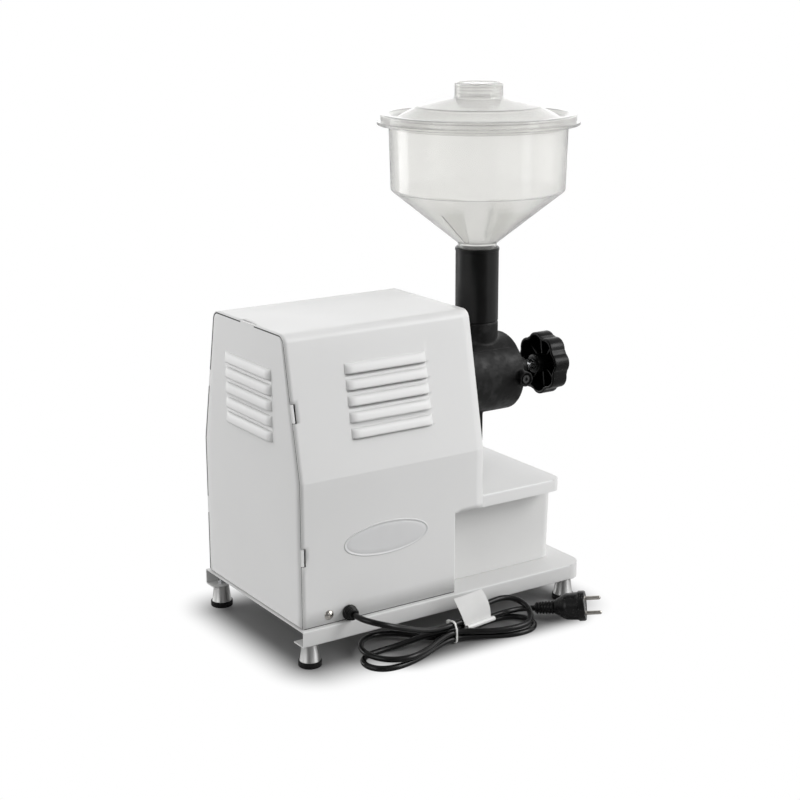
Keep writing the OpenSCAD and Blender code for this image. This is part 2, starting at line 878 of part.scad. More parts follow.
module mill_cover() {
  color("black")
    difference() {
      union() {
        axis_cyl(xq, mill_cap, mill_r);
        axis_cyl(xm - 1, nose_len + 1, nose_r);
        axis_cyl(xm - 1, 9, nose_r + 5);
        translate([boss_x, -mill_r + 6, axis_h])
          rotate([90, 0, 0])
            cylinder(h = boss_reach - mill_r + 6, r = boss_r);
      }
      axis_cyl(xq - 1, 200, spindle_r + run_clear);
      translate([boss_x, 0, axis_h])
        rotate([90, 0, 0])
          cylinder(h = 100, r = 3 + bolt_gap);
      translate([boss_x, 5 - boss_reach, axis_h])
        rotate([90, 0, 0])
          cylinder(h = 20, r = boss_r - 2);
      axis_holes(xq - 1, cap_ring, 4, 2.5 + bolt_gap, 40, 45);
      axis_holes(xm - 3.5, cap_ring, 4, 4.5, 10, 45);
    }
}
module mill_cover_bolts() {
  color("dimgray")
    axis_bolts(xm - 3.5, cap_ring, 4, 2.5, 4.2, 3.5, mill_cap + 10, 45);
}
module lock_screw() {
  color("silver")
    translate([boss_x, 5 - boss_reach, axis_h])
      rotate([90, 0, 0]) {
        difference() {
          cylinder(h = 3, r = 5);
          translate([0, 0, 1])
            cylinder(h = 5, r = 2.6, $fn = 6);
        }
        translate([0, 0, spindle_r + 0.8 - boss_reach + 5])
          cylinder(h = boss_reach - 5 - spindle_r - 0.3, r = 3);
      }
}
module dust_seal() {
  color("black")
    difference() {
      axis_cyl(xf, back_t, seal_r);
      axis_cyl(xf - 1, back_t + 2, shaft_r + run_clear);
    }
}
module feed_tube() {
  color("black")
    difference() {
      union() {
        translate([xn, 0, neck_h])
          cylinder(h = tube_h - neck_h, r = neck_r);
        translate([xn, 0, tube_h - 4])
          cylinder(h = 4, r = neck_r + 0.6);
      }
      translate([xn, 0, neck_h - 1])
        cylinder(h = socket + 1.5, r = plug_r);
      translate([xn, 0, neck_h - 1])
        cylinder(h = 200, r = feed_r + 2);
      translate([xn, 0, seat_h])
        cylinder(h = 200, r = plug_r);
    }
}

// Burrs, auger and adjuster
burr_x = xf + 10.5;
fixed_x = burr_x + burr_t + burr_gap;
car_x = fixed_x + burr_t;
car_end = xq - 3;
car_wall = 4;
tip_r = spindle_r - 2;
tip_room = 5;
module teeth(x, r0, r1, n, s) {
  for (i = [0:n - 1])
    translate([x, 0, axis_h])
      rotate([360 * i / n, 0, 0])
        translate([-1, -1, r0])
          cube([2, 2, r1 - r0]);
}
module rotating_burr() {
  color("gray")
    difference() {
      axis_cyl(burr_x, burr_t, burr_r);
      axis_cyl(burr_x - 1, 20, shaft_r + 0.02);
      teeth(burr_x + burr_t, 19, burr_r + 2, 24, 1);
    }
}
module fixed_burr() {
  color("gray")
    difference() {
      axis_cyl(fixed_x, burr_t, burr_r);
      axis_cyl(fixed_x - 1, 20, auger_r + 1.5);
      teeth(fixed_x, 19, burr_r + 2, 24, 1);
      axis_holes(fixed_x + burr_t - 6, 28, 3, 2 + bolt_gap, 20, 30);
    }
}
module feed_auger() {
  color("gray")
    difference() {
      union() {
        axis_cyl(burr_x + burr_t, car_end - car_wall - tip_room - burr_x - burr_t, shaft_r + 2.5);
        translate([burr_x + burr_t, 0, axis_h])
          rotate([0, 90, 0])
            linear_extrude(car_end - car_wall - tip_room - burr_x - burr_t,
              twist = 720, slices = 36, $fn = 8)
              translate([0, -2])
                square([auger_r, 4]);
      }
      axis_cyl(burr_x, xf + 58.05 - burr_x, shaft_r + 0.02);
    }
}
module burr_carrier() {
  color("silver")
    difference() {
      axis_cyl(car_x, car_end - car_x, bore_r - slide_clear);
      axis_cyl(car_x + 5, car_end - car_x - car_wall - 5, bore_r - 6);
      axis_cyl(car_x - 1, 10, auger_r + 3);
      axis_cyl(car_x, 200, tip_r + run_clear);
      translate([xn - feed_r - 1, -feed_r - 1, axis_h])
        cube([car_end - car_wall - xn + feed_r + 1, 2 * feed_r + 2, 60]);
      axis_holes(car_x - 1, 28, 3, 2 + bolt_gap, 10, 30);
    }
}
module burr_screws() {
  color("dimgray")
    axis_bolts(car_x + 5, 28, 3, 2, 2.6, 2.2, 9, 30);
}
hub_x = xk - knob_t - hub_back;
module adjuster_spindle() {
  color("silver") {
    axis_cyl(car_end + 0.3, xk - 6 - car_end - 0.3, spindle_r);
    axis_cyl(car_end - car_wall - 2.6, car_wall + 4, tip_r);
  }
}
module spindle_clip() {
  color("dimgray")
    difference() {
      axis_cyl(car_end - car_wall - 2, 1.6, tip_r + 3.5);
      axis_cyl(car_end - car_wall - 3, 5, tip_r + 0.02);
    }
}
lobe_r = 14;
knob_phase = 8.5;
// the knob's outline, drawn t inside its outer face
module knob_outline(t = 0) {
  circle(r = knob_r - knob_dip - t);
  for (i = [0:knob_n - 1])
    rotate(360 * i / knob_n + knob_phase)
      translate([knob_r - lobe_r, 0])
        circle(r = lobe_r - t);
}
knob_wall = 5;
hub_r = 12;
rib_t = 2.4;
rib_h = 9;
module adjusting_knob() {
  color("black")
    translate([xk, 0, axis_h])
      rotate([0, -90, 0])
        difference() {
          union() {
            linear_extrude(knob_t)
              knob_outline();
            cylinder(h = knob_t + hub_back, r = hub_r);
          }
          difference() {
            translate([0, 0, knob_wall])
              linear_extrude(knob_t)
                knob_outline(knob_rim);
            translate([0, 0, knob_wall - 1])
              cylinder(h = knob_t + 10, r = hub_r);
            for (i = [0:knob_n - 1])
              rotate(360 * i / knob_n + knob_phase)
                translate([0, -rib_t / 2, knob_wall - 1])
                  cube([knob_r - 1, rib_t, rib_h + 1]);
          }
          translate([0, 0, 6])
            cylinder(h = knob_t + 10, r = spindle_r + 0.02);
        }
}

// Hopper and lid
spig_r = plug_r - spigot_clear;
neck_top = tube_h + 5;
hop_path = [[spig_r, seat_h + 0.1], [spig_r, neck_top], [bowl_low_r, cone_h], [bowl_top_r, rim_h - 3.6],
  [rim_r, rim_h - 3.6]];
hop_in = shifted(hop_path, hopper_t);
// fins of the hopper's mouth, and the radius in the middle of the cone's wall h above the neck
fin_h = 42;
fin_in = spig_r - 5.6;
cone_run = (bowl_low_r - spig_r) / (cone_h - neck_top);
function in_wall(h) = spig_r + h * cone_run - hopper_t * norm([1, cone_run]) / 2;
module hopper() {
  color([0.9, 0.92, 0.93, 0.6])
    translate([xn, 0, 0])
      union() {
        rotate_extrude()
          polygon(concat(
            rounded(hop_path, [0, 3, 6, 0.8, 0], 6),
            [[rim_r, rim_h], [bowl_top_r - hopper_t, rim_h]],
            flip(rounded([hop_in[0], hop_in[1], hop_in[2], [bowl_top_r - hopper_t, rim_h - 1]],
              [0, 3, 4, 0], 6))));
        for (a = [20, 110, 200, 290])
          rotate([0, 0, a])
            rotate([90, 0, 0])
              linear_extrude(1.6, center = true)
                polygon([[in_wall(2), neck_top + 2], [in_wall(fin_h), neck_top + fin_h],
                  [fin_in + 14, neck_top + fin_h - 1], [fin_in, neck_top + 3]]);
      }
}
lid_z = rim_h + 0.02;
lid_r = bowl_top_r + lid_lip;
lid_path = [[lid_r, lid_z], [lid_r, lid_z + lid_rim], [lid_r - 8.4, lid_z + lid_rim],
  [lid_r - 12, lid_z + lid_rim - 4], [lid_r - 19, lid_z + lid_rim - 4], [lid_r - 40, lid_z + lid_rim + 6.5],
  [lid_r - 42, lid_z + lid_rim + 8.7], [grip_r, lid_z + lid_h - 18.1], [grip_r, lid_z + lid_h],
  [0, lid_z + lid_h]];
lid_radii = [0, 2.2, 2.2, 1.5, 3, 0.8, 2.2, 3, 2.5, 0];
lid_t = 1.8;
skirt_r = bowl_top_r - hopper_t - 2.5;
module hopper_lid() {
  color([0.9, 0.92, 0.93, 0.6])
    translate([xn, 0, 0])
      union() {
        rotate_extrude()
          polygon(sheet(lid_path, lid_radii, lid_t, 6));
        rotate_extrude()
          polygon([[skirt_r - 1.6, lid_z - 8], [skirt_r, lid_z - 8], [skirt_r, lid_z + 4.2],
            [skirt_r - 1.6, lid_z + 4.2]]);
      }
}

// Cord
gland_end = -hw - gland_len;
module cord_gland() {
  color("black")
    translate([gx, 0, gz])
      rotate([90, 0, 0])
        difference() {
          union() {
            translate([0, 0, hw])
              cylinder(h = 5, r = gland_r);
            translate([0, 0, hw + 4.5])
              cylinder(h = gland_len - 4.5, r1 = gland_r - 0.6, r2 = gland_r - 2.5);
            translate([0, 0, hw - 12])
              cylinder(h = 13, r = gland_r - 2);
          }
          translate([0, 0, hw - 13])
            cylinder(h = 12, r = cord_d / 2 + 0.3);
        }
}
module gland_nut() {
  color("black")
    translate([gx, -hw + cover_t, gz])
      rotate([-90, 0, 0])
        difference() {
          cylinder(h = 5, r = gland_r - 0.5, $fn = 6);
          translate([0, 0, -1])
            cylinder(h = 8, r = gland_r - 2 + 0.05);
        }
}
// slots of the five strands in the tie, and hand-chosen places of the free loops
tie_x = -34;
front_y = -148;
back_y = -140;
low_z = 5.3;
mid_z = 13.1;
high_z = 20.9;
plug_at = [91, -139, 12];
plug_dir = [0.7235, -0.6801, 0.1182] / norm([0.7235, -0.6801, 0.1182]);
lead_pts = [[gx, gland_end, gz], [gx, gland_end - 8, gz], [gx + 1.5, gland_end - 17.3, gz - 0.2],
  [gx + 5.7, gland_end - 25.6, gz - 0.9], [gx + 12.4, gland_end - 32.3, gz - 2.4],
  [gx + 20.8, gland_end - 36.5, gz - 5], [gx + 31, gland_end - 38, gz - 8.8],
  [-112, -163, 41.4], [-94, -158.5, 33.5], [-76, -153, 27], [-60, -148, 22.8],
  [-46, -145, 21.2], [tie_x, -144, high_z]];
right_1 = [[-20, -142.6, 21.6], [-6, -138.4, 24], [10, -133.8, 27.6], [24, -131.2, 30.6], [36, -130.9, 32],
  [46.7, -130.8, 32.4], [58.8, -133.6, 31.3], [67.4, -141.4, 27.4], [70.8, -152, 22], [67.4, -162.6, 16.7],
  [58.8, -170.4, 12.8], [46.7, -173.2, 11.7], [35, -172.8, 11.8], [20, -170.8, 11.8], [4, -165.6, 12.1],
  [-10, -157, 12.6], [-22, -150.4, 13], [tie_x, front_y + 0.6, mid_z]];
left_1 = [[-46, -149, 13], [-60, -154.6, 12.5], [-74, -162, 12], [-88, -169.4, 11.8], [-104, -174.6, 11.6],
  [-120, -175.4, 11.6], [-134, -170.4, 11.6], [-144.4, -160, 11.6], [-150, -146, 11.6], [-150, -131, 11.5],
  [-145, -117, 11.3], [-135, -104.6, 10.9], [-122, -97, 10.2], [-108, -95.2, 9.4], [-94, -98.8, 8.5],
  [-82, -105.4, 7.6], [-71, -115, 6.7], [-62, -124.2, 6], [-53.6, -132.4, 5.6], [-44.4, -138.6, 5.2],
  [tie_x, back_y - 0.2, low_z - 0.1]];
right_2 = [[-20, -139.4, 5.1], [-4, -135, 4.5], [12, -129.6, 3.9], [27, -125.8, 3.7], [40, -124.5, 3.7],
  [52, -124.5, 3.7], [64.5, -127.8, 3.7], [73.6, -137, 3.7], [77, -149.5, 3.7], [73.6, -162, 3.7],
  [64.5, -171.2, 3.7], [52, -174.5, 3.7], [39, -174, 3.7], [26, -171, 3.7], [12, -164.8, 3.9],
  [-3, -156.6, 4.4], [-18, -150.4, 5], [tie_x, front_y + 0.6, low_z]];
left_2 = [[-48, -149, 5.2], [-64, -154, 4.2], [-82, -161.8, 3.7], [-100, -168.8, 3.7], [-117, -173, 3.7],
  [-132.6, -174.4, 3.7], [-146, -171.4, 3.7], [-155.4, -162.8, 3.7], [-158.8, -150.6, 3.7],
  [-155.4, -138.4, 3.7], [-146, -129.8, 3.7], [-132.6, -126.8, 3.7], [-118, -126.2, 3.8],
  [-103, -127.2, 4.6], [-88, -129.4, 7.2], [-71, -133, 11], [-53, -138.2, 13.3], [tie_x, back_y - 0.5, mid_z]];
tail_pts = [[-18, -138, 12.9], [-2, -135.6, 12.5], [14, -133.2, 12.2], [30, -130.8, 11.9], [44, -129, 11.7],
  [57, -128.4, 11.6], [66, -128.4, 11.4], [78, -129.8, 11.2], plug_at - 7 * plug_dir, plug_at];
route = concat(lead_pts, right_1, left_1, right_2, left_2, tail_pts);
last = len(route) - 1;
function at_route(i) =
  i < 0 ? 2 * route[0] - route[1] : i > last ? 2 * route[last] - route[last - 1] : route[i];
// point at t of an even cubic spline, where t counts the route's points
function curve(t) =
  let (i = min(floor(t), last - 1), u = t - i, v = 1 - u)
  (v * v * v * at_route(i - 1) + (3 * u * u * u - 6 * u * u + 4) * at_route(i)
  + (3 * v * v * v - 6 * v * v + 4) * at_route(i + 1) + u * u * u * at_route(i + 2)) / 6;
function heading(t) =
  t <= 0 ? unit(route[1] - route[0]) : t >= last ? unit(route[last] - route[last - 1])
  : unit(curve(t + 0.02) - curve(t - 0.02));
sides = 8;
function cord_ring(t) =
  let (c = curve(t), h = heading(t), s = unit(cross(h, [0, 0, 1])), u = cross(s, h))
  [for (k = [0:sides - 1]) c + cord_d / 2 * (cos(360 * k / sides) * s + sin(360 * k / sides) * u)];
module tube(t0, t1, n) {
  pts = [for (i = [0:n]) each cord_ring(t0 + (t1 - t0) * i / n)];
  walls = [for (i = [0:n - 1]) for (k = [0:sides - 1]) let (m = (k + 1) % sides)
    each [[i * sides + k, i * sides + m, (i + 1) * sides + m],
      [i * sides + k, (i + 1) * sides + m, (i + 1) * sides + k]]];
  polyhedron(points = pts, faces = concat(walls, [[for (k = [sides - 1:-1:0]) k]],
    [[for (k = [0:sides - 1]) n * sides + k]]));
}
lead_n = len(lead_pts) - 1;
hank_n = lead_n + len(right_1) + len(left_1) + len(right_2) + len(left_2);
samples = [for (t = [0:0.25:last]) curve(t)];
gaps = [for (i = [0:len(samples) - 1]) for (j = [i + 14:1:len(samples) - 1]) norm(samples[i] - samples[j])];
steps = [for (i = [1:len(samples) - 1]) norm(samples[i] - samples[i - 1])];
function total(l, i = 0) = i >= len(l) ? 0 : l[i] + total(l, i + 1);
echo(least_cord_gap = min(gaps) - cord_d);
echo(cord_length = total(steps));
echo(lowest_cord = min([for (p = samples) p[2]]) - cord_d / 2);
module cord_lead() {
  color("black")
    tube(0, lead_n, 18);
}
module cord_hank() {
  color("black")
    tube(lead_n, hank_n, 80);
}
module cord_tail() {
  color("black")
    tube(hank_n, last, 16);
}
tie_in = [[front_y - 4, 1.3], [back_y + 4, 1.3], [back_y + 4, mid_z + 4], [back_y, high_z + 4],
  [front_y, high_z + 4], [front_y - 4, mid_z + 4]];
function grown(p, t) =
  [for (i = [0:len(p) - 1]) miter(p[(i + len(p) - 1) % len(p)], p[i], p[(i + 1) % len(p)], -t)];
module cable_tie() {
  color("white")
    union() {
      along_x(tie_x - 1.3, 2.6)
        difference() {
          polygon(grown(tie_in, 1.1));
          polygon(tie_in);
        }
      translate([tie_x - 2.5, back_y + 1.9, high_z - 1.6])
        cube([5, 5, 5]);
    }
}
// a blank label folded round the last strand, its flag standing in front of the strands
tag_at = curve(hank_n + 3);
tag_az = 8.53;
tag_from = -31;
tag_to = 13;
tag_h = 43.5;
tag_y = 9;
tag_in = cord_d / 2 + 1.4;
module cord_tag() {
  color("white")
    translate(tag_at)
      rotate([0, 0, tag_az]) {
        translate([0, -tag_y, 0])
          rotate([90, 0, 0])
            linear_extrude(0.8)
              polygon([[tag_from, 0], [tag_to, 0], [tag_to - 3.4, 6], [tag_to - 7, 24.4], [-6.8, tag_h],
                [tag_from - 21, tag_h], [tag_from - 2.5, 9.2]]);
        translate([tag_from, -7, 0])
          rotate([0, 90, 0])
            cylinder(h = tag_to - tag_from, r = 2.9);
        difference() {
          translate([tag_from, 0, 0])
            rotate([0, 90, 0])
              cylinder(h = tag_to - tag_from, r = tag_in + 1);
          translate([tag_from - 20, 0, 0])
            rotate([0, 90, 0])
              cylinder(h = 100, r = tag_in);
          translate([tag_from - 20, -20, -22.5])
            cube([100, 40, 20]);
        }
      }
}
plug_az = atan2(plug_dir[1], plug_dir[0]);
plug_el = asin(plug_dir[2]);
module along_plug() {
  translate(plug_at)
    rotate([0, 90 - plug_el, plug_az])
      children();
}
pin_gap = 19;
pin_r = 2.4;
module plug_body() {
  color("black")
    along_plug()
      difference() {
        union() {
          cylinder(h = 26, r1 = 6, r2 = 7.6);
          for (i = [0:4])
            translate([0, 0, 2 + 4.6 * i])
              cylinder(h = 2.6, r = 7.4 + 0.25 * i);
          translate([0, 0, 24])
            cylinder(h = 13, r1 = 8.4, r2 = 16);
          translate([0, 0, 36.9])
            cylinder(h = 17, r1 = 16, r2 = 16.8);
          translate([0, 0, 53])
            cylinder(h = 8.5, r = 18.2);
        }
        for (s = [-1, 1])
          translate([s * pin_gap / 2, 0, 40])
            cylinder(h = 40, r = pin_r + 0.02);
      }
}
module plug_pins() {
  color("silver")
    along_plug()
      for (s = [-1, 1])
        translate([s * pin_gap / 2, 0, 40]) {
          cylinder(h = 38.1, r = pin_r);
          translate([0, 0, 38.1])
            intersection() {
              sphere(r = pin_r);
              cylinder(h = 5, r = 5);
            }
        }
}

base_tray();
foot_cones();
foot_pads();
foot_bolts();
cover_shell();
rear_panel();
front_panel();
bay_wall();
shelf();
cover_brackets();
cover_screws();
badge_plate();
motor_stand();
stand_bolts();
motor_saddle();
saddle_bolts();
stator_core();
winding_heads();
front_bell();
rear_bell();
front_bearing();
rear_bearing();
run_capacitor();
capacitor_clip();
terminal_block();
switch_body();
switch_rocker();
mill_body();
mill_bolts();
mill_cover();
mill_cover_bolts();
lock_screw();
dust_seal();
feed_tube();
motor_shaft();
rotor_core();
cooling_fan();
rotating_burr();
feed_auger();
burr_carrier();
fixed_burr();
burr_screws();
adjuster_spindle();
spindle_clip();
adjusting_knob();
hopper();
hopper_lid();
collecting_box();
cord_gland();
gland_nut();
cord_lead();
cord_hank();
cord_tail();
cable_tie();
cord_tag();
plug_body();
plug_pins();
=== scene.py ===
"""Looks of an electric coffee grinder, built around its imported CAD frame.

Lengths in this file are millimetres in the row frame (+Z up, +X to the knob, -Y to the cord)
and are turned into metres by MM when a mesh is made.
"""

import math
from math import cos, pi, radians, sin, sqrt, tan

import bmesh
import bpy
from mathutils import Matrix, Vector


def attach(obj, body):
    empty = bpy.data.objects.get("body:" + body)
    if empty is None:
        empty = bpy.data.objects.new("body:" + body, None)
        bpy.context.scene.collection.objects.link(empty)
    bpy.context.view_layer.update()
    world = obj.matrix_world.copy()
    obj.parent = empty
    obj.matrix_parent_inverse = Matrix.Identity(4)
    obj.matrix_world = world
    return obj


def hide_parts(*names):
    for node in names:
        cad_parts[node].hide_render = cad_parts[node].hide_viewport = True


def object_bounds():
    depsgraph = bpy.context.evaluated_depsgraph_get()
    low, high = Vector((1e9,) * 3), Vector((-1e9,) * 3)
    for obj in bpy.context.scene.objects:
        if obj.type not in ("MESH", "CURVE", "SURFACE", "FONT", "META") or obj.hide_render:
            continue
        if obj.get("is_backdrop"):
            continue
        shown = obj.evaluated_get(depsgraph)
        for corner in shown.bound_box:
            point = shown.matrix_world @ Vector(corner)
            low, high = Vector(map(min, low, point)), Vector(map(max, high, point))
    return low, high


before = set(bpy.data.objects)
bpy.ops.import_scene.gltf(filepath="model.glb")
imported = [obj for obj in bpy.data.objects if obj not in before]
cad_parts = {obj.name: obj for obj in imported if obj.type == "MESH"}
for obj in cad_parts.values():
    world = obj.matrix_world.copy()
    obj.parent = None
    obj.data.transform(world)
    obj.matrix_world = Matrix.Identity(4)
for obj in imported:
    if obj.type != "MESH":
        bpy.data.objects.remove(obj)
CAD_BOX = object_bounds()
MM = 0.001
scene = bpy.context.scene
scene.view_settings.view_transform = "Standard"

# Sizes that part.scad gives
XR, XT = -220.65, 181.35  # tray's rear and front end
XC, XF = -217.65, 28.95  # cover's rear and front end
XB = -10.75  # bay wall
XN = 100.85  # axis of neck, tube and hopper
XQ, XM, XK = 123.85, 139.65, 219.35  # mill cover's back and front, knob's front
HALF_W, TOP_HALF = 114.5, 82.0  # cover's half width below and at the top
TRAY_TOP = 47.0
KINK_H, TOP_H = 217.0, 378.5
SHELF_LOW = 145.5  # shelf's lower edge, over the bay
AXIS_H, MILL_R = 275.0, 49.0  # mill's axis and outer radius
COVER_T = 1.2
NECK_H, TUBE_H = 343.0, 434.0
CORD_D = 7.0


# Camera

CAMERA_AT = Vector((-1051.05, -1580.87, 767.32))
CAMERA_TURN = (radians(90 - 15.083), radians(0.161), radians(-33.352))
FOCAL_PX, IMAGE_PX, SENSOR = 1621.47, 800, 36.0

lens = bpy.data.cameras.new("camera")
lens.sensor_width = SENSOR
lens.lens = SENSOR * FOCAL_PX / IMAGE_PX
lens.clip_end = 200
camera = bpy.data.objects.new("camera", lens)
camera.location = CAMERA_AT * MM
camera.rotation_euler = CAMERA_TURN
scene.collection.objects.link(camera)
scene.camera = camera


# Materials

class Nodes:
    """The node tree of a material or a world, with short calls for what is needed here."""

    def __init__(self, owner, place="Object"):
        owner.use_nodes = True
        self.mat = owner
        self.tree = owner.node_tree
        self.shader = self.tree.nodes.get("Principled BSDF")
        self.place = self.new("ShaderNodeTexCoord").outputs[place]

    def new(self, kind, inputs=None, **values):
        """A node with its settings. Its inputs are numbers, or sockets to link with."""
        node = self.tree.nodes.new(kind)
        for name, value in values.items():
            setattr(node, name, value)
        for name, value in (inputs or {}).items():
            if isinstance(value, bpy.types.NodeSocket):
                self.link(value, node.inputs[name])
            elif value is not None:
                node.inputs[name].default_value = value
        return node

    def link(self, a, b):
        self.tree.links.new(a, b)

    def stretched(self, x, y, z):
        return self.new("ShaderNodeMapping", {"Vector": self.place, "Scale": (x, y, z)}).outputs["Vector"]

    def noise(self, scale, detail=3.0, where=None):
        inputs = {"Vector": where or self.place, "Scale": scale, "Detail": detail}
        return self.new("ShaderNodeTexNoise", inputs).outputs["Fac"]

    def span(self, value, low, high, start=0.3, end=0.7):
        """value mapped from start..end to low..high."""
        inputs = {"Value": value, "From Min": start, "From Max": end, "To Min": low, "To Max": high}
        return self.new("ShaderNodeMapRange", inputs, clamp=True).outputs["Result"]

    def ramp(self, value, *stops):
        node = self.new("ShaderNodeValToRGB", {"Fac": value})
        points = node.color_ramp.elements
        while len(points) < len(stops):
            points.new(0.5)
        for point, (at, colour) in zip(points, stops):
            point.position = at
            point.color = (*colour, 1)
        return node.outputs["Color"]

    def mixed(self, factor, one, other):
        inputs = {"Factor": factor, "A": one, "B": other}
        return self.new("ShaderNodeMix", inputs, data_type="RGBA").outputs["Result"]

    def bump(self, height, strength, distance, under=None):
        inputs = {"Height": height, "Strength": strength, "Distance": distance, "Normal": under}
        return self.new("ShaderNodeBump", inputs).outputs["Normal"]

    def colour(self, socket):
        self.link(socket, self.shader.inputs["Base Color"])

    def rough(self, socket):
        self.link(socket, self.shader.inputs["Roughness"])

    def normal(self, socket):
        self.link(socket, self.shader.inputs["Normal"])

    def vector(self, operation, first, second=None):
        node = self.new("ShaderNodeVectorMath", {0: first, 1: second}, operation=operation)
        return node.outputs["Value" if operation in ("DOT_PRODUCT", "LENGTH") else "Vector"]

    def combined(self, operation, first, second):
        return self.new("ShaderNodeMath", {0: first, 1: second}, operation=operation).outputs[0]

    def seen(self):
        """1 for rays from the camera and for those that came through clear plastic, 0 for all others."""
        rays = self.new("ShaderNodeLightPath").outputs
        return self.combined("MAXIMUM", rays["Is Camera Ray"], rays["Is Transmission Ray"])

    def fix(self, **values):
        for name, value in values.items():
            socket = name.replace("_", " ").title().replace("Ior", "IOR")
            self.shader.inputs[socket].default_value = value


def material(name):
    return Nodes(bpy.data.materials.new(name))


def grey(v):
    return (v, v, v)


def plain(name, colour, rough, metal=0.0, vary=0.12, grain=60, bump=0.05, bump_grain=900,
          shine=0.5, clear=0.0):
    """A finish with uneven colour and gloss, and a fine relief."""
    n = material(name)
    low = tuple(c * (1 - vary) for c in colour)
    high = tuple(min(c * (1 + vary), 1) for c in colour)
    n.colour(n.ramp(n.noise(grain), (0.3, low), (0.7, high)))
    n.rough(n.span(n.noise(grain * 2.3), rough * 0.88, rough * 1.14))
    n.normal(n.bump(n.noise(bump_grain), bump, 0.0004))
    n.fix(metallic=metal, specular_ior_level=shine, transmission_weight=clear)
    return n.mat


def enamel(name, colour, rough):
    """Stoved paint on sheet steel: slight clouding, uneven gloss, long soft waves of the sheet."""
    n = material(name)
    n.colour(n.ramp(n.noise(7), (0.3, tuple(c * 0.98 for c in colour)), (0.7, colour)))
    n.rough(n.span(n.noise(16, 2), rough * 0.9, rough * 1.15))
    n.normal(n.bump(n.noise(22, 1), 0.06, 0.0008))
    n.fix(specular_ior_level=0.42, coat_weight=0.15, coat_roughness=0.2)
    return n.mat


def cast_iron(name):
    """Black cast iron: mottled grey patches, sand grain and soft hollows."""
    n = material(name)
    patch = n.noise(70, 5)
    n.colour(n.ramp(patch, (0.34, grey(0.0015)), (0.52, grey(0.0038)), (0.66, grey(0.018))))
    n.rough(n.span(n.noise(110, 4), 0.36, 0.58))
    sand = n.bump(n.noise(620, 2), 0.18, 0.0004)
    n.normal(n.bump(n.noise(120, 3), 0.28, 0.0012, under=sand))
    n.fix(specular_ior_level=0.2)
    return n.mat


def turned(name, colour, rough, grain):
    """Bright metal with fine tool marks or layers, closest along the axis with the largest grain."""
    n = material(name)
    rings = n.noise(1.0, 2, n.stretched(*grain))
    n.colour(n.ramp(rings, (0.3, tuple(c * 0.86 for c in colour)), (0.7, colour)))
    n.rough(n.span(rings, rough * 0.8, rough * 1.3))
    n.normal(n.bump(rings, 0.16, 0.0002))
    n.fix(metallic=1.0)
    return n.mat


def milky(name, low, high, clear, rough):
    """Translucent polypropylene: cloudy white, frosted, with upright flow marks from moulding."""
    n = material(name)
    flow = n.noise(1.0, 3, n.stretched(30, 30, 2.5))
    n.colour(n.ramp(flow, (0.3, low), (0.7, high)))
    n.rough(n.span(flow, rough - 0.03, rough + 0.03))
    n.normal(n.bump(flow, 0.05, 0.002))
    n.fix(transmission_weight=clear, ior=1.38, specular_ior_level=0.5)
    return n.mat


WHITE = enamel("white_enamel", (0.80, 0.80, 0.795), 0.42)
TRAY_WHITE = enamel("tray_enamel", (0.68, 0.68, 0.675), 0.44)
IRON = cast_iron("black_cast_iron")
TUBE_BLACK = plain("tube_black", grey(0.003), 0.34, vary=0.3, grain=40, bump=0.08, bump_grain=500,
                   shine=0.3)
KNOB_BLACK = plain("knob_gloss_black", grey(0.003), 0.3, vary=0.2, bump=0.04, bump_grain=300, shine=0.17)
ALUMINIUM = plain("turned_aluminium", (0.43, 0.43, 0.425), 0.34, metal=1.0, vary=0.04, grain=30,
                  bump=0.02, bump_grain=600)
RUBBER = plain("black_rubber", grey(0.004), 0.6, vary=0.25, bump=0.25, bump_grain=1400, shine=0.2)
NICKEL = plain("bright_nickel", (0.52, 0.50, 0.47), 0.18, metal=1.0, vary=0.05, bump=0.04)
PIN_NICKEL = plain("pin_nickel", (0.46, 0.44, 0.41), 0.3, metal=1.0, vary=0.05, bump=0.04)
BADGE = plain("badge_silver", (0.72, 0.722, 0.725), 0.4, vary=0.02, grain=30, bump=0.0)
BADGE_DARK = plain("badge_line", grey(0.05), 0.35, vary=0.2, bump=0.02, bump_grain=200)
BADGE_RIM = plain("badge_rim", (0.60, 0.602, 0.605), 0.45, vary=0.03, bump=0.0)
# painted shade: dark grey for the sheets' inner faces and the gap strips, where the real paint is white; it
# stands in for the shade inside the cover, in its gaps and under its louvres
SHADE_INSIDE = plain("sheet_inside_painted_shade", grey(0.02), 0.7, vary=0.2, grain=20, bump_grain=200)
MILKY = milky("milky_plastic", (0.957, 0.954, 0.94), (0.987, 0.985, 0.968), 0.9, 0.17)
# the lid's plastic: less clear than the bowl's, and darker than it as painted shade
MILKY_LID_SHADED = milky("lid_plastic_shaded", (0.94, 0.937, 0.922), (0.972, 0.97, 0.955), 0.82, 0.15)
BOX_WHITE = plain("box_plastic", (0.72, 0.72, 0.712), 0.42, vary=0.015, grain=10, bump=0.03,
                  bump_grain=60)
CORD_BLACK = plain("cord_pvc", grey(0.002), 0.24, vary=0.25, bump=0.08, bump_grain=400, shine=0.28)
PLUG_BLACK = plain("plug_pvc", grey(0.003), 0.28, vary=0.2, bump=0.08, bump_grain=500, shine=0.3)
NYLON = plain("white_nylon", (0.82, 0.82, 0.80), 0.38, vary=0.04, clear=0.25)
TAG_WHITE = plain("tag_film", (0.83, 0.83, 0.82), 0.4, vary=0.03, grain=50, bump_grain=300)
BLACK_PLASTIC = plain("black_plastic", grey(0.012), 0.42, vary=0.2, bump=0.15, bump_grain=1600)
ZINC = plain("zinc_steel", (0.62, 0.63, 0.64), 0.3, metal=1.0, vary=0.1, grain=120)
CAST_ALU = plain("cast_aluminium", (0.58, 0.59, 0.60), 0.45, metal=1.0, bump=0.3, bump_grain=1200)
CORE = turned("core_laminations", (0.36, 0.37, 0.39), 0.4, (1900, 4, 4))
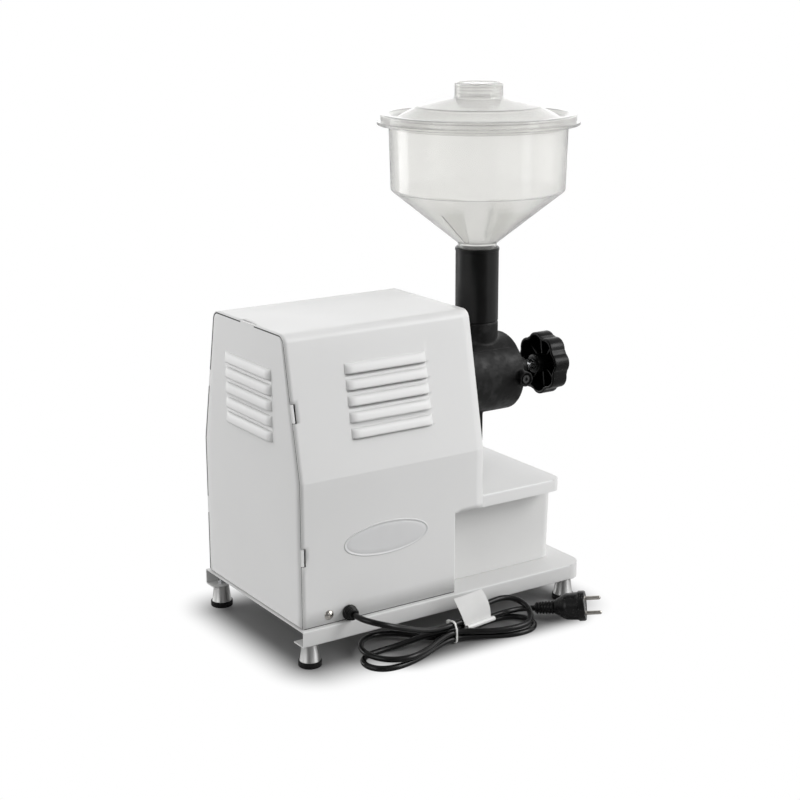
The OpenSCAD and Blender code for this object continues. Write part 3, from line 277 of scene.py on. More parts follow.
COPPER = turned("winding_copper", (0.60, 0.30, 0.14), 0.3, (60, 900, 900))
BEARING = plain("bearing_steel", (0.70, 0.71, 0.72), 0.18, metal=1.0, vary=0.05)
IVORY = plain("ivory_plastic", (0.80, 0.76, 0.64), 0.45, vary=0.04)
BLACK_STEEL = plain("black_steel", grey(0.02), 0.4, vary=0.2)
STEEL = turned("bright_steel", (0.66, 0.67, 0.68), 0.22, (1600, 6, 6))
BURR = plain("burr_iron", grey(0.30), 0.5, metal=1.0, vary=0.2, bump=0.3, bump_grain=1000)
SWITCH = plain("switch_plastic", grey(0.014), 0.25, vary=0.15)


# Shapes

WELD = 2e-6  # metres, for points that a CAD mesh repeats
SQUARE = ((-1, -1), (1, -1), (1, 1), (-1, 1))


def finish(obj, mat, body="frame", slot=None, swaps=(), smooth=35, bevel=0.0):
    """Material, shading, edge rounding, and the piece's place in the frame."""
    mats = mat if isinstance(mat, list) else [mat]
    if obj.name not in scene.collection.objects:
        scene.collection.objects.link(obj)
    obj.data.materials.clear()
    for m in mats:
        obj.data.materials.append(m)
    if obj.type == "MESH":
        obj.data.shade_smooth()
        obj.data.set_sharp_from_angle(angle=radians(smooth))
    if bevel:
        mod = obj.modifiers.new("edges", "BEVEL")
        mod.width = bevel * MM
        mod.segments = 3
        mod.limit_method = "ANGLE"
        mod.angle_limit = radians(smooth)
        mod.harden_normals = True
    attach(obj, body)
    if swaps:
        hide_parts(*swaps)
    return obj


def mesh_object(name, verts, faces, kinds=None):
    mesh = bpy.data.meshes.new(name)
    mesh.from_pydata([Vector(v) * MM for v in verts], [], faces)
    if kinds:
        mesh.polygons.foreach_set("material_index", kinds)
    mesh.update()
    return bpy.data.objects.new(name, mesh)


class Solid:
    """Vertices and faces of one piece, gathered from several forms."""

    def __init__(self):
        self.verts, self.faces = [], []

    def add(self, verts, faces):
        base = len(self.verts)
        self.verts += [tuple(v) for v in verts]
        self.faces += [tuple(base + i for i in f) for f in faces]
        return self

    def made(self, name):
        return mesh_object(name, self.verts, self.faces)


def lathe(profile, place, count, closed=True):
    """Rings about place's Z axis. A profile's points are (radius, height), or (added radius, height,
    outline), where outline(angle) is the ring's own radius. Points on the axis close the form."""
    verts, rows, faces = [], [], []
    turns = steps(0, 2 * pi, count)[:-1]
    for r, h, *outline in profile:
        if not outline and r < 1e-6:
            rows.append([len(verts)] * count)
            verts.append(place @ Vector((0, 0, h)))
            continue
        rows.append(list(range(len(verts), len(verts) + count)))
        for a in turns:
            radius = outline[0](a) + r if outline else r
            verts.append(place @ Vector((radius * cos(a), radius * sin(a), h)))
    pairs = len(profile) if closed else len(profile) - 1
    for i in range(pairs):
        a, b = rows[i], rows[(i + 1) % len(profile)]
        for k in range(count):
            m = (k + 1) % count
            face = [a[k], a[m], b[m], b[k]]
            face = [v for n, v in enumerate(face) if v not in face[:n]]
            if len(face) > 2:
                faces.append(face)
    return verts, faces


def ring_faces(rings, count, loop=False):
    """Quads between neighbouring rings of count points. With loop, the last ring also meets the first."""
    faces = []
    for r in range(rings if loop else rings - 1):
        a, b = r * count, (r + 1) % rings * count
        for i in range(count):
            j = (i + 1) % count
            faces.append((a + i, a + j, b + j, b + i))
    return faces


def capped(rings, count):
    """Faces of a closed form of rings of count points."""
    ends = [tuple(range(count))[::-1], tuple(range((rings - 1) * count, rings * count))]
    return ring_faces(rings, count) + ends


def box_of(corners):
    """A box's corners, lower four then upper four, and its faces."""
    return corners, capped(2, 4)


def level_box(x0, x1, *levels):
    """A box from x0 to x1 whose lower and upper faces are each given as (y0, y1, z)."""
    return box_of([(x, y, z) for y0, y1, z in levels for x, y in ((x0, y0), (x1, y0), (x1, y1), (x0, y1))])


def outward(obj, facing=None):
    """Turns a form's faces outward, or an open sheet's faces toward facing."""
    bm = bmesh.new()
    bm.from_mesh(obj.data)
    bmesh.ops.recalc_face_normals(bm, faces=bm.faces)
    if facing and sum(f.normal.dot(facing) for f in bm.faces) < 0:
        bmesh.ops.reverse_faces(bm, faces=bm.faces)
    bm.to_mesh(obj.data)
    bm.free()
    return obj


def steps(low, high, n):
    return [low + (high - low) * k / n for k in range(n + 1)]


def merged(values, least=0.05):
    """Values in order, without those that follow another one within least."""
    out = []
    for v in sorted(values):
        if not out or v - out[-1] > least:
            out.append(v)
    return out


def unit(v):
    return v / v.length


def rounded(path, radii, n):
    """A path of 2-D points with its corners rounded."""
    points = [Vector(p) for p in path]
    out = [points[0]]
    for i in range(1, len(points) - 1):
        a, b, c = points[i - 1], points[i], points[i + 1]
        u, v = unit(a - b), unit(c - b)
        half = math.acos(max(-1, min(1, u.dot(v)))) / 2
        r = radii[i]
        if r <= 0 or abs(half - pi / 2) < 1e-4:
            out.append(b)
            continue
        centre = b + unit(u + v) * (r / sin(half))
        p, q = b + u * (r / tan(half)) - centre, b + v * (r / tan(half)) - centre
        start = math.atan2(p.y, p.x)
        sweep = (math.atan2(q.y, q.x) - start + pi) % (2 * pi) - pi
        out += [centre + Vector((cos(a), sin(a))) * r for a in steps(start, start + sweep, n)]
    return out + [points[-1]]


def closed_round(path, radii, n):
    """A closed outline with all corners rounded."""
    count = len(path)
    out = []
    for i in range(count):
        out += rounded([path[i - 1], path[i], path[(i + 1) % count]], [0, radii[i], 0], n)[1:-1]
    return out


def inset(path, t):
    """A path moved t to its left, with mitred corners."""
    points = [Vector(p) for p in path]
    out = []
    for i, b in enumerate(points):
        before = unit(b - points[i - 1]) if i else unit(points[1] - b)
        after = unit(points[i + 1] - b) if i < len(points) - 1 else before
        n, m = Vector((-before.y, before.x)), Vector((-after.y, after.x))
        out.append(b + (n + m) * (t / (1 + n.dot(m))))
    return out


def refined(name, node, mat, bevel, **place):
    """A CAD node's own form with its edges rounded and its curves shaded smooth."""
    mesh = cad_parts[node].data.copy()
    if "custom_normal" in mesh.attributes:
        mesh.attributes.remove(mesh.attributes["custom_normal"])
    bm = bmesh.new()
    bm.from_mesh(mesh)
    bmesh.ops.remove_doubles(bm, verts=bm.verts, dist=WELD)
    bmesh.ops.dissolve_limit(bm, angle_limit=radians(0.6), verts=bm.verts, edges=bm.edges)
    bm.to_mesh(mesh)
    bm.free()
    return finish(bpy.data.objects.new(name, mesh), mat, swaps=(node,), smooth=30, bevel=bevel, **place)


# Cord: the route of part.scad, on the same even cubic spline

GLAND = Vector((-158.15, -126.5, 56.2))
GX, GY, GZ = GLAND
TIE_X, FRONT_Y, BACK_Y, LOW_Z, MID_Z, HIGH_Z = -34.0, -148.0, -140.0, 5.3, 13.1, 20.9
PLUG_AT = Vector((91.0, -139.0, 12.0))
PLUG_DIR = Vector((0.7235, -0.6801, 0.1182)).normalized()
LEAD = [
    (GX, GY, GZ), (GX, GY - 8, GZ), (GX + 1.5, GY - 17.3, GZ - 0.2), (GX + 5.7, GY - 25.6, GZ - 0.9),
    (GX + 12.4, GY - 32.3, GZ - 2.4), (GX + 20.8, GY - 36.5, GZ - 5), (GX + 31, GY - 38, GZ - 8.8),
    (-112, -163, 41.4), (-94, -158.5, 33.5), (-76, -153, 27), (-60, -148, 22.8), (-46, -145, 21.2),
    (TIE_X, -144, HIGH_Z),
]
RIGHT_1 = [
    (-20, -142.6, 21.6), (-6, -138.4, 24), (10, -133.8, 27.6), (24, -131.2, 30.6), (36, -130.9, 32),
    (46.7, -130.8, 32.4), (58.8, -133.6, 31.3), (67.4, -141.4, 27.4), (70.8, -152, 22),
    (67.4, -162.6, 16.7), (58.8, -170.4, 12.8), (46.7, -173.2, 11.7), (35, -172.8, 11.8),
    (20, -170.8, 11.8), (4, -165.6, 12.1), (-10, -157, 12.6), (-22, -150.4, 13),
    (TIE_X, FRONT_Y + 0.6, MID_Z),
]
LEFT_1 = [
    (-46, -149, 13), (-60, -154.6, 12.5), (-74, -162, 12), (-88, -169.4, 11.8), (-104, -174.6, 11.6),
    (-120, -175.4, 11.6), (-134, -170.4, 11.6), (-144.4, -160, 11.6), (-150, -146, 11.6),
    (-150, -131, 11.5), (-145, -117, 11.3), (-135, -104.6, 10.9), (-122, -97, 10.2), (-108, -95.2, 9.4),
    (-94, -98.8, 8.5), (-82, -105.4, 7.6), (-71, -115, 6.7), (-62, -124.2, 6), (-53.6, -132.4, 5.6),
    (-44.4, -138.6, 5.2), (TIE_X, BACK_Y - 0.2, LOW_Z - 0.1),
]
RIGHT_2 = [
    (-20, -139.4, 5.1), (-4, -135, 4.5), (12, -129.6, 3.9), (27, -125.8, 3.7), (40, -124.5, 3.7),
    (52, -124.5, 3.7), (64.5, -127.8, 3.7), (73.6, -137, 3.7), (77, -149.5, 3.7), (73.6, -162, 3.7),
    (64.5, -171.2, 3.7), (52, -174.5, 3.7), (39, -174, 3.7), (26, -171, 3.7), (12, -164.8, 3.9),
    (-3, -156.6, 4.4), (-18, -150.4, 5), (TIE_X, FRONT_Y + 0.6, LOW_Z),
]
LEFT_2 = [
    (-48, -149, 5.2), (-64, -154, 4.2), (-82, -161.8, 3.7), (-100, -168.8, 3.7), (-117, -173, 3.7),
    (-132.6, -174.4, 3.7), (-146, -171.4, 3.7), (-155.4, -162.8, 3.7), (-158.8, -150.6, 3.7),
    (-155.4, -138.4, 3.7), (-146, -129.8, 3.7), (-132.6, -126.8, 3.7), (-118, -126.2, 3.8),
    (-103, -127.2, 4.6), (-88, -129.4, 7.2), (-71, -133, 11), (-53, -138.2, 13.3),
    (TIE_X, BACK_Y - 0.5, MID_Z),
]
TAIL = [
    (-18, -138, 12.9), (-2, -135.6, 12.5), (14, -133.2, 12.2), (30, -130.8, 11.9), (44, -129, 11.7),
    (57, -128.4, 11.6), (66, -128.4, 11.4), (78, -129.8, 11.2), PLUG_AT - PLUG_DIR * 7, PLUG_AT,
]
ROUTE = [Vector(p) for p in LEAD + RIGHT_1 + LEFT_1 + RIGHT_2 + LEFT_2 + TAIL]
LAST = len(ROUTE) - 1
HANK_END = LAST - len(TAIL)
KNOTS = [2 * ROUTE[0] - ROUTE[1], *ROUTE, 2 * ROUTE[-1] - ROUTE[-2]]


def on_cord(t):
    """Point of the cord's line at t, which counts the route's points."""
    i = min(int(t), LAST - 1)
    u = t - i
    v = 1 - u
    a, b, c, d = KNOTS[i:i + 4]
    return (a * v**3 + b * (3 * u**3 - 6 * u * u + 4) + c * (3 * v**3 - 6 * v * v + 4) + d * u**3) / 6


TAG_TURN = radians(8.53)
CORD_STEPS = 6
cord_line = [on_cord(k / CORD_STEPS) for k in range(LAST * CORD_STEPS + 1)]
cord_length = sum((b - a).length for a, b in zip(cord_line, cord_line[1:]))

line = bpy.data.curves.new("cord", "CURVE")
line.dimensions = "3D"
line.bevel_depth = CORD_D / 2 * MM
line.bevel_resolution = 5
line.use_fill_caps = True
spline = line.splines.new("POLY")
spline.points.add(len(cord_line) - 1)
for point, at in zip(spline.points, cord_line):
    point.co = (*(at * MM), 1)
spline.use_smooth = True
cord = bpy.data.objects.new("cord", line)
finish(cord, CORD_BLACK, slot="cord_black", swaps=("cord_lead", "cord_hank", "cord_tail"))


# Pieces on the cord

def gland():
    """Moulded strain relief: flange, tapered boot with grip rings, mouth for the cord."""
    rings = [(0, 0.3), (8.2, 0.3), (8.8, 0.8), (9.0, 1.6), (9.0, 3.9), (8.7, 4.6), (8.2, 4.9)]
    for i in range(3):
        h = 5.4 + i * 2.1
        r = 8.3 - i * 0.62
        rings += [(r, h), (r, h + 1.1), (r - 0.7, h + 1.4), (r - 0.7, h + 1.9)]
    rings += [(6.3, 11.6), (5.6, 12.0), (4.0, 12.0), (3.6, 11.4), (0, 11.4)]
    place = Matrix.Translation((GX, -HALF_W, GZ)) @ Matrix.Rotation(pi / 2, 4, "X")
    obj = mesh_object("cord_boot", *lathe(rings, place, 48, closed=False))
    finish(obj, PLUG_BLACK, slot="black_plastic", swaps=("cord_gland",), smooth=40)


def cable_tie():
    """Nylon strap round the five strands, with its head."""
    clear, low, thick, half, soft = 4.0, 1.3, 1.05, 1.25, 0.3
    inner = [(FRONT_Y - clear, low), (BACK_Y + clear, low), (BACK_Y + clear, MID_Z + clear),
             (BACK_Y, HIGH_Z + clear), (FRONT_Y, HIGH_Z + clear), (FRONT_Y - clear, MID_Z + clear)]
    loop_in = closed_round(inner, [3.4, 3.4, 5, 4, 4, 5], 6)
    mid = Vector((sum(p.x for p in loop_in), sum(p.y for p in loop_in))) / len(loop_in)
    loop_out = []
    for i, p in enumerate(loop_in):
        along = loop_in[(i + 1) % len(loop_in)] - loop_in[i - 1]
        side = unit(Vector((along.y, -along.x)))
        loop_out.append(p + side * (thick if side.dot(p - mid) > 0 else -thick))
    rows = [(loop_in, -half), (loop_in, half), (loop_out, half - soft), (loop_out, soft - half)]
    verts = [(TIE_X + x, p.x, p.y) for loop, x in rows for p in loop]
    part = Solid().add(verts, ring_faces(len(rows), len(loop_in), loop=True))
    head_half, head_y = 2.4, BACK_Y + 4.4
    head = closed_round([(x * head_half, y * head_half) for x, y in SQUARE], [0.9] * 4, 4)
    # (share of the head's outline, height)
    stack = [(0.8, HIGH_Z - 1.55), (1, HIGH_Z - 0.9), (1, HIGH_Z + 2.7), (0.8, HIGH_Z + 3.35)]
    verts = [(TIE_X + p.x * k, head_y + p.y * k, z) for k, z in stack for p in head]
    part.add(verts, capped(len(stack), len(head)))
    return finish(part.made("tie_strap"), NYLON, slot="white_nylon", swaps=("cable_tie",), smooth=40)


def cord_tag():
    """Blank label round the last strand, rolled at its foot. Its flag stands before the strands."""
    place = Matrix.Translation(on_cord(HANK_END + 3)) @ Matrix.Rotation(TAG_TURN, 4, "Z")
    x0, x1, top, film, columns = -31.0, 13.0, 43.4, 0.16, 18
    part = Solid()

    def sheet(line, span, curl=0.0):
        """Both sides and the edges of a film that follows line in (y, z), as wide as span says."""
        w, rows, start = columns + 1, len(line), len(part.verts)
        turn = []
        for k in range(rows):
            along = unit(Vector(line[min(k + 1, rows - 1)]) - Vector(line[max(k - 1, 0)]))
            turn.append(Vector((-along.y, along.x)))
        faces = [(k * w + i, k * w + i + 1, (k + 1) * w + i + 1, (k + 1) * w + i)
                 for k in range(rows - 1) for i in range(columns)]
        for side in (1, -1):
            verts = []
            for k, (y, z) in enumerate(line):
                low, high = span(z)
                for u in steps(0, 1, columns):
                    bow = curl * (k / rows) ** 2 * sin(pi * u)
                    q = Vector((y + bow, z)) + turn[k] * film * side
                    verts.append(place @ Vector((low + (high - low) * u, q.x, q.y)))
            part.add(verts, faces if side > 0 else [f[::-1] for f in faces])
        rim = list(range(w)) + [k * w + columns for k in range(1, rows)]
        rim += [(rows - 1) * w + i for i in reversed(range(columns))]
        rim += [k * w for k in reversed(range(1, rows - 1))]
        back = start + w * rows
        part.faces += [(start + a, back + a, back + b, start + b) for a, b in zip(rim, rim[1:] + rim[:1])]

    def flag_span(z):
        """The flag leans back along the cord as it rises, and narrows."""
        up = max(z, 0) / top
        return x0 - 20.9 * up ** 1.15, x1 - 3.4 - 16.3 * up ** 2.2

    sleeve_r, roll_r, roll_y, roll_z, flag_y, flag_z = 5.4, 1.8, -9.5, 2.0, -7.5, 6.0
    fold = [radians(a) for a in range(-22, 196, 12)]
    sheet([(sleeve_r * cos(a), sleeve_r * sin(a)) for a in fold], lambda z: (x0 + 0.3, x1 - 0.3))
    roll = []
    for k in range(31):
        r, a = roll_r + k / 30, radians(14 * k + 160)
        roll.append((r * cos(a) + roll_y, r * sin(a) + roll_z))
    sheet(roll, lambda z: (x0, x1))
    foot = [(-5.5, -0.6), (-6.0, 0.8), (-6.8, 2.4), (-7.35, 4.2)]
    flag = [(flag_y - 0.15 * sin(pi * u), flag_z + (top - flag_z) * u) for u in steps(0, 1, 22)]
    sheet(foot + flag, flag_span, curl=-0.9)
    return finish(part.made("blank_tag"), TAG_WHITE, slot="white_tag", swaps=("cord_tag",), smooth=50)


PLUG_YAW = Matrix.Rotation(math.atan2(PLUG_DIR.y, PLUG_DIR.x), 4, "Z")
PLUG_TILT = Matrix.Rotation(pi / 2 - math.asin(PLUG_DIR.z), 4, "Y")
PLUG_FRAME = Matrix.Translation(PLUG_AT) @ PLUG_YAW @ PLUG_TILT
PIN_PITCH, PIN_R, PIN_END = 19.0, 2.4, 80.5


def plug():
    """Round two-pin plug: ribbed boot, shouldered grip, thick front disc."""
    rings = [(0, 0.2), (5.0, 0.2), (5.8, 0.8)]
    for i in range(6):
        h = 2.0 + 3.75 * i
        r = 7.2 + 0.2 * i
        rings += [(r - 1.1, h - 0.4), (r, h + 0.1), (r + 0.2, h + 1.0), (r, h + 1.9), (r - 1.1, h + 2.4)]
    grip = [(7.4, 24.0), (8.4, 24.6), (9.4, 26.5), (15.2, 36.4), (16.0, 39.0), (16.7, 52.0), (17.3, 53.0),
            (18.2, 53.8), (18.2, 60.3), (17.4, 61.5), (15.2, 61.5), (14.6, 61), (0, 61)]
    rings += rounded(grip, [0, 0.4, 3, 5, 5, 0.8, 0.3, 0.5, 0.6, 0.5, 0.3, 0.3, 0], 4)
    obj = mesh_object("plug_shell", *lathe([tuple(p) for p in rings], PLUG_FRAME, 64, closed=False))
    return finish(obj, PLUG_BLACK, slot="cord_black_plug", swaps=("plug_body",), smooth=40)


def plug_pins():
    """Two round pins with a collar at the foot and a domed end."""
    part = Solid()
    dome = PIN_END - PIN_R
    for s in (-1, 1):
        place = PLUG_FRAME @ Matrix.Translation((s * PIN_PITCH / 2, 0, 0))
        turns = [radians(a) for a in range(0, 90, 15)]
        tip = [(PIN_R * cos(a), dome + PIN_R * sin(a)) for a in turns] + [(0, PIN_END)]
        foot = [(0, 58), (3.1, 58), (3.1, 61.2), (2.7, 61.6), (PIN_R, 61.7)]
        part.add(*lathe(foot + tip, place, 32, closed=False))
    obj = part.made("plug_blades")
    return finish(obj, PIN_NICKEL, slot="bright_nickel", swaps=("plug_pins",), smooth=40)


tie, tag, plug_shell, pins = cable_tie(), cord_tag(), plug(), plug_pins()
gland()


# Sheet metal

LOUVRE_L, LOUVRE_H, LOUVRE_D, LOUVRE_PITCH, LOUVRES = 108.0, 12.0, 4.5, 17.8, 5
LOUVRE_END = 9.5  # length of a louvre's round ends
LOUVRE_RISE = [LOUVRE_H * sin(pi / 2 * k / 10) for k in range(11)]
SIDE_LOUVRE_X, SIDE_LOUVRE_Z, REAR_LOUVRE_Z = -91.65, 256.3, 252.0
LEAN = math.atan2(HALF_W - TOP_HALF, TOP_H - KINK_H)
TABS, TAB_H, TAB_DEEP, TAB_TOP_W = (122.0, 284.0), 20.0, 5.0, 32.0
TAB_SLIT, TAB_IN, TAB_T, TAB_TOP_T = 2.0, 0.15, 4.5, 5.0
SLOT_GAP = 0.6
COVER_LIFT = 1.1  # gap under the cover's edge, dark with a strip of painted shade
COVER_PATH = [(-HALF_W, TRAY_TOP + COVER_LIFT), (-HALF_W, KINK_H), (-TOP_HALF, TOP_H), (TOP_HALF, TOP_H),
              (HALF_W, KINK_H), (HALF_W, TRAY_TOP + COVER_LIFT)]
KINK_R, TOP_R = 8.0, 12.0
REAR_GAP, REAR_LIFT = 1.5, 0.8
# depths of the painted-shade strips behind the sheets' faces
GAP_SHADE_IN, STRIP_IN, STRIP_T = 0.35, 0.5, 0.6
NEAR = 1e-4  # for rows that are the same


def louvre_columns(mid):
    """Places along a louvre: close together at its round ends."""
    half = LOUVRE_L / 2
    ends = [half - LOUVRE_END * (1 - cos(pi / 2 * k / 9)) for k in range(10)]
    offsets = [s * e for e in ends for s in (-1, 1)] + [ends[-1] * k / 6 for k in range(-6, 7)]
    return sorted({round(mid + o, 4) for o in offsets})


def bulge(along, up):
    """How far a louvre stands out: full at its open lower edge, nothing at its top and ends."""
    edge = LOUVRE_L / 2 - abs(along)
    if edge <= 1e-6 or not 0 <= up <= 1:
        return 0.0
    near = 1 - min(edge / LOUVRE_END, 1)
    return LOUVRE_D * sqrt(max(0, 1 - near * near)) * sqrt(1 - up * up)


def slit_sheet(name, columns, rows, louvres, point, keep):
    """A sheet on a grid of columns and rows. A louvre, (row of its slit, row where it closes, its middle),
    stands out and is cut free at its slit. point(column, row, out) places a vertex, and keep(column, row)
    says whether a cell is there."""
    verts, ids, faces = [], {}, []

    def vertex(i, j, after):
        """Vertex of column i and row j, as the cell after row j sees it, or the cell before it."""
        c, r = columns[i], rows[j]
        out, level = 0.0, 0
        for slit, shut, mid in louvres:
            if min(slit, shut) - NEAR <= r <= max(slit, shut) + NEAR:
                cut = abs(r - slit) < NEAR
                outside = cut and after != (shut > slit)
                out = 0.0 if outside else bulge(c - mid, max(0, min(1, (r - slit) / (shut - slit))))
                level = round(out, 5) if cut else 0
        key = (i, j, level)
        if key not in ids:
            ids[key] = len(verts)
            verts.append(point(c, r, out))
        return ids[key]

    for i in range(len(columns) - 1):
        for j in range(len(rows) - 1):
            if keep((columns[i] + columns[i + 1]) / 2, (rows[j] + rows[j + 1]) / 2):
                faces.append((vertex(i, j, True), vertex(i + 1, j, True),
                              vertex(i + 1, j + 1, False), vertex(i, j + 1, False)))
    return mesh_object(name, verts, faces)


def thicken(obj, even):
    """Gives a sheet its thickness, inward, with the second material, a painted shade, on its inner faces.
    """
    mod = obj.modifiers.new("sheet", "SOLIDIFY")
    mod.thickness = COVER_T * MM
    mod.offset = -1
    mod.use_even_offset = even
    mod.material_offset = 1


def cover():
    """Bent cover with louvres on both sides, slots for the rear panel's tabs and the bay's notch."""
    path = rounded(COVER_PATH, [0, KINK_R, TOP_R, TOP_R, KINK_R, 0], 10)
    run = [0.0]
    for a, b in zip(path, path[1:]):
        run.append(run[-1] + (b - a).length)
    total = run[-1]

    def at(s):
        for k in range(len(path) - 1):
            if s <= run[k + 1] + 1e-9 or k == len(path) - 2:
                along = unit(path[k + 1] - path[k])
                return path[k] + along * (s - run[k]), along

    def s_of_height(z):
        for k in range(len(path) // 2):
            if path[k].y <= z <= path[k + 1].y:
                return run[k] + (z - path[k].y) / (path[k + 1].y - path[k].y) * (run[k + 1] - run[k])

    louvres, marks = [], list(run)
    for i in range(LOUVRES):
        low = s_of_height(SIDE_LOUVRE_Z + LOUVRE_PITCH * i)
        high = low + LOUVRE_H
        # the far side's louvres open downward too, so their rows run the other way
        louvres += [(low, high, SIDE_LOUVRE_X), (total - low, total - high, SIDE_LOUVRE_X)]
        marks += [low + rise for rise in LOUVRE_RISE]
    marks += [total - s for s in marks if s < total / 2]
    middle, half_tab = total / 2, TAB_TOP_W / 2 + SLOT_GAP
    cuts = [(s_of_height(z - SLOT_GAP), s_of_height(z + TAB_H + SLOT_GAP)) for z in TABS]
    cuts += [(total - b, total - a) for a, b in cuts] + [(middle - half_tab, middle + half_tab)]
    bay = s_of_height(SHELF_LOW)
    marks += [s for cut in cuts for s in cut] + [bay, total - bay] + steps(0, total, 40)
    columns = louvre_columns(SIDE_LOUVRE_X) + [XC, XC + TAB_DEEP, XB, XF] + steps(XC, XF, 24)

    def point(c, s, out):
        p, along = at(s)
        q = p + Vector((-along.y, along.x)) * out
        return (c, q.x, q.y)

    def keep(c, s):
        if c < XC + TAB_DEEP and any(a < s < b for a, b in cuts):
            return False
        return not (c > XB and (s < bay or s > total - bay))

    obj = slit_sheet("cover", merged(columns, 0.02), merged(marks), louvres, point, keep)
    thicken(obj, even=True)
    finish(obj, [WHITE, SHADE_INSIDE], slot="white_paint", swaps=("cover_shell",), smooth=38)


def rear_rim(depth):
    """The cover's outline, moved in by depth."""
    corner = TOP_R - COVER_T - REAR_GAP
    return rounded(inset(COVER_PATH, -depth), [0, KINK_R, corner, corner, KINK_R, 0], 10)


def rear_panel():
    """Louvred rear panel with a narrow gap around it."""
    edge = [p for p in rear_rim(COVER_T + REAR_GAP) if p.x <= 0.001]
    low_z, top_z = TRAY_TOP + REAR_LIFT, TOP_H - COVER_T - REAR_GAP
    inner = LOUVRE_L / 2 + 3

    def half_width(z):
        for a, b in zip(edge, edge[1:]):
            if a.y <= z <= b.y + 1e-6 and b.y > a.y:
                return -(a.x + (b.x - a.x) * (z - a.y) / (b.y - a.y))
        return -edge[-1].x if z < top_z - 1 else -max(p.x for p in edge if p.y > top_z - 1e-3)

    def point(c, z, out):
        """Columns past inner stand for shares of the way from there to the panel's edge."""
        past = abs(c) / inner - 1
        y = c if past <= 0 else math.copysign(inner + past * (half_width(z) - inner), c)
        return (XC - out, y, z)

    louvres, rows = [], [p.y for p in edge if low_z < p.y < top_z] + steps(low_z, top_z, 26)
    for i in range(LOUVRES):
        low = REAR_LOUVRE_Z + LOUVRE_PITCH * i
        louvres.append((low, low + LOUVRE_H, 0.0))
        rows += [low + rise for rise in LOUVRE_RISE]
    outer = steps(inner, 2 * inner, 5)
    columns = merged(louvre_columns(0.0) + outer + [-c for c in outer], 0.02)
    obj = slit_sheet("rear_cover", columns, merged(rows, 0.04), louvres, point, lambda c, z: True)
    thicken(outward(obj, Vector((-1, 0, 0))), even=False)
    finish(obj, [WHITE, SHADE_INSIDE], slot="white_paint", swaps=("rear_panel",), smooth=38)


def painted_gap_shade():
    """Painted shade: dark strips behind the sheets' faces, round the rear panel and under the cover's long
    edges, where the gaps are in shade.
    """
    x0, x1 = XC + GAP_SHADE_IN, XC + COVER_T
    verts = []
    for out, back in zip(rear_rim(COVER_T), rear_rim(COVER_T + REAR_GAP)):
        verts += [(x0, out.x, out.y), (x0, back.x, back.y), (x1, back.x, back.y), (x1, out.x, out.y)]
    part = Solid().add(verts, capped(len(verts) // 4, 4))
    for side in (-1, 1):
        across = side * (HALF_W - STRIP_IN), side * (HALF_W - STRIP_IN - STRIP_T)
        part.add(*level_box(XC + 2, XB - 0.8, (*across, TRAY_TOP), (*across, TRAY_TOP + COVER_LIFT)))
    finish(outward(part.made("painted_gap_shade")), SHADE_INSIDE)


def side_y(z):
    return HALF_W if z < KINK_H else HALF_W - (z - KINK_H) * tan(LEAN)


def panel_tabs():
    """Bent tabs of the rear panel, flush in the cover's slots."""
    part = Solid()
    x0, x1 = XC + 0.05, XC + TAB_DEEP - TAB_SLIT
    for z in TABS:
        for s in (-1, 1):
            outer = [side_y(h) - TAB_IN for h in (z, z + TAB_H)]
            low, high = [(s * y, s * (y - TAB_T)) for y in outer]
            part.add(*level_box(x0, x1, (*low, z), (*high, z + TAB_H)))
    half = TAB_TOP_W / 2
    part.add(*level_box(x0, x1, (-half, half, TOP_H - TAB_TOP_T), (-half, half, TOP_H - TAB_IN)))
    finish(outward(part.made("panel_tabs")), WHITE, slot="white_paint", bevel=0.35)


cover()
rear_panel()
painted_gap_shade()
panel_tabs()
refined("tray", "base_tray", TRAY_WHITE, bevel=0.35, slot="white_paint")
refined("shelf_plate", "shelf", WHITE, bevel=0.35, slot="white_paint")


# Feet, screws and badge

FOOT_Y = 108.0
FEET = [(x, s * FOOT_Y) for x in (XR + 14.5, XT - 22) for s in (-1, 1)]


def feet():
    """Turned cones, and the rubber pads under them."""
    cone = [(2.7, 5.2), (11.6, 5.2), (12.2, 5.7), (12.25, 6.2), (12.1, 7.6), (11.5, 8.4), (9.35, 25.6),
            (9.0, 26.6), (9.0, 27.2), (8.7, 27.5), (2.7, 27.5)]
    pad = [(5.6, 0.0), (12.4, 0.0), (13.2, 0.5), (13.45, 1.2), (13.45, 5.9), (13.2, 6.7), (12.8, 7.0),
           (12.3, 7.0), (12.3, 5.05), (5.6, 5.05)]
    cones, pads = Solid(), Solid()
    for x, y in FEET:
        place = Matrix.Translation((x, y, 0))
        cones.add(*lathe(cone, place, 56))
        pads.add(*lathe(pad, place, 56))
    finish(cones.made("feet_cones"), ALUMINIUM, slot="turned_aluminium", swaps=("foot_cones",), smooth=32)
    finish(pads.made("feet_pads"), RUBBER, slot="black_rubber", swaps=("foot_pads",), smooth=32)


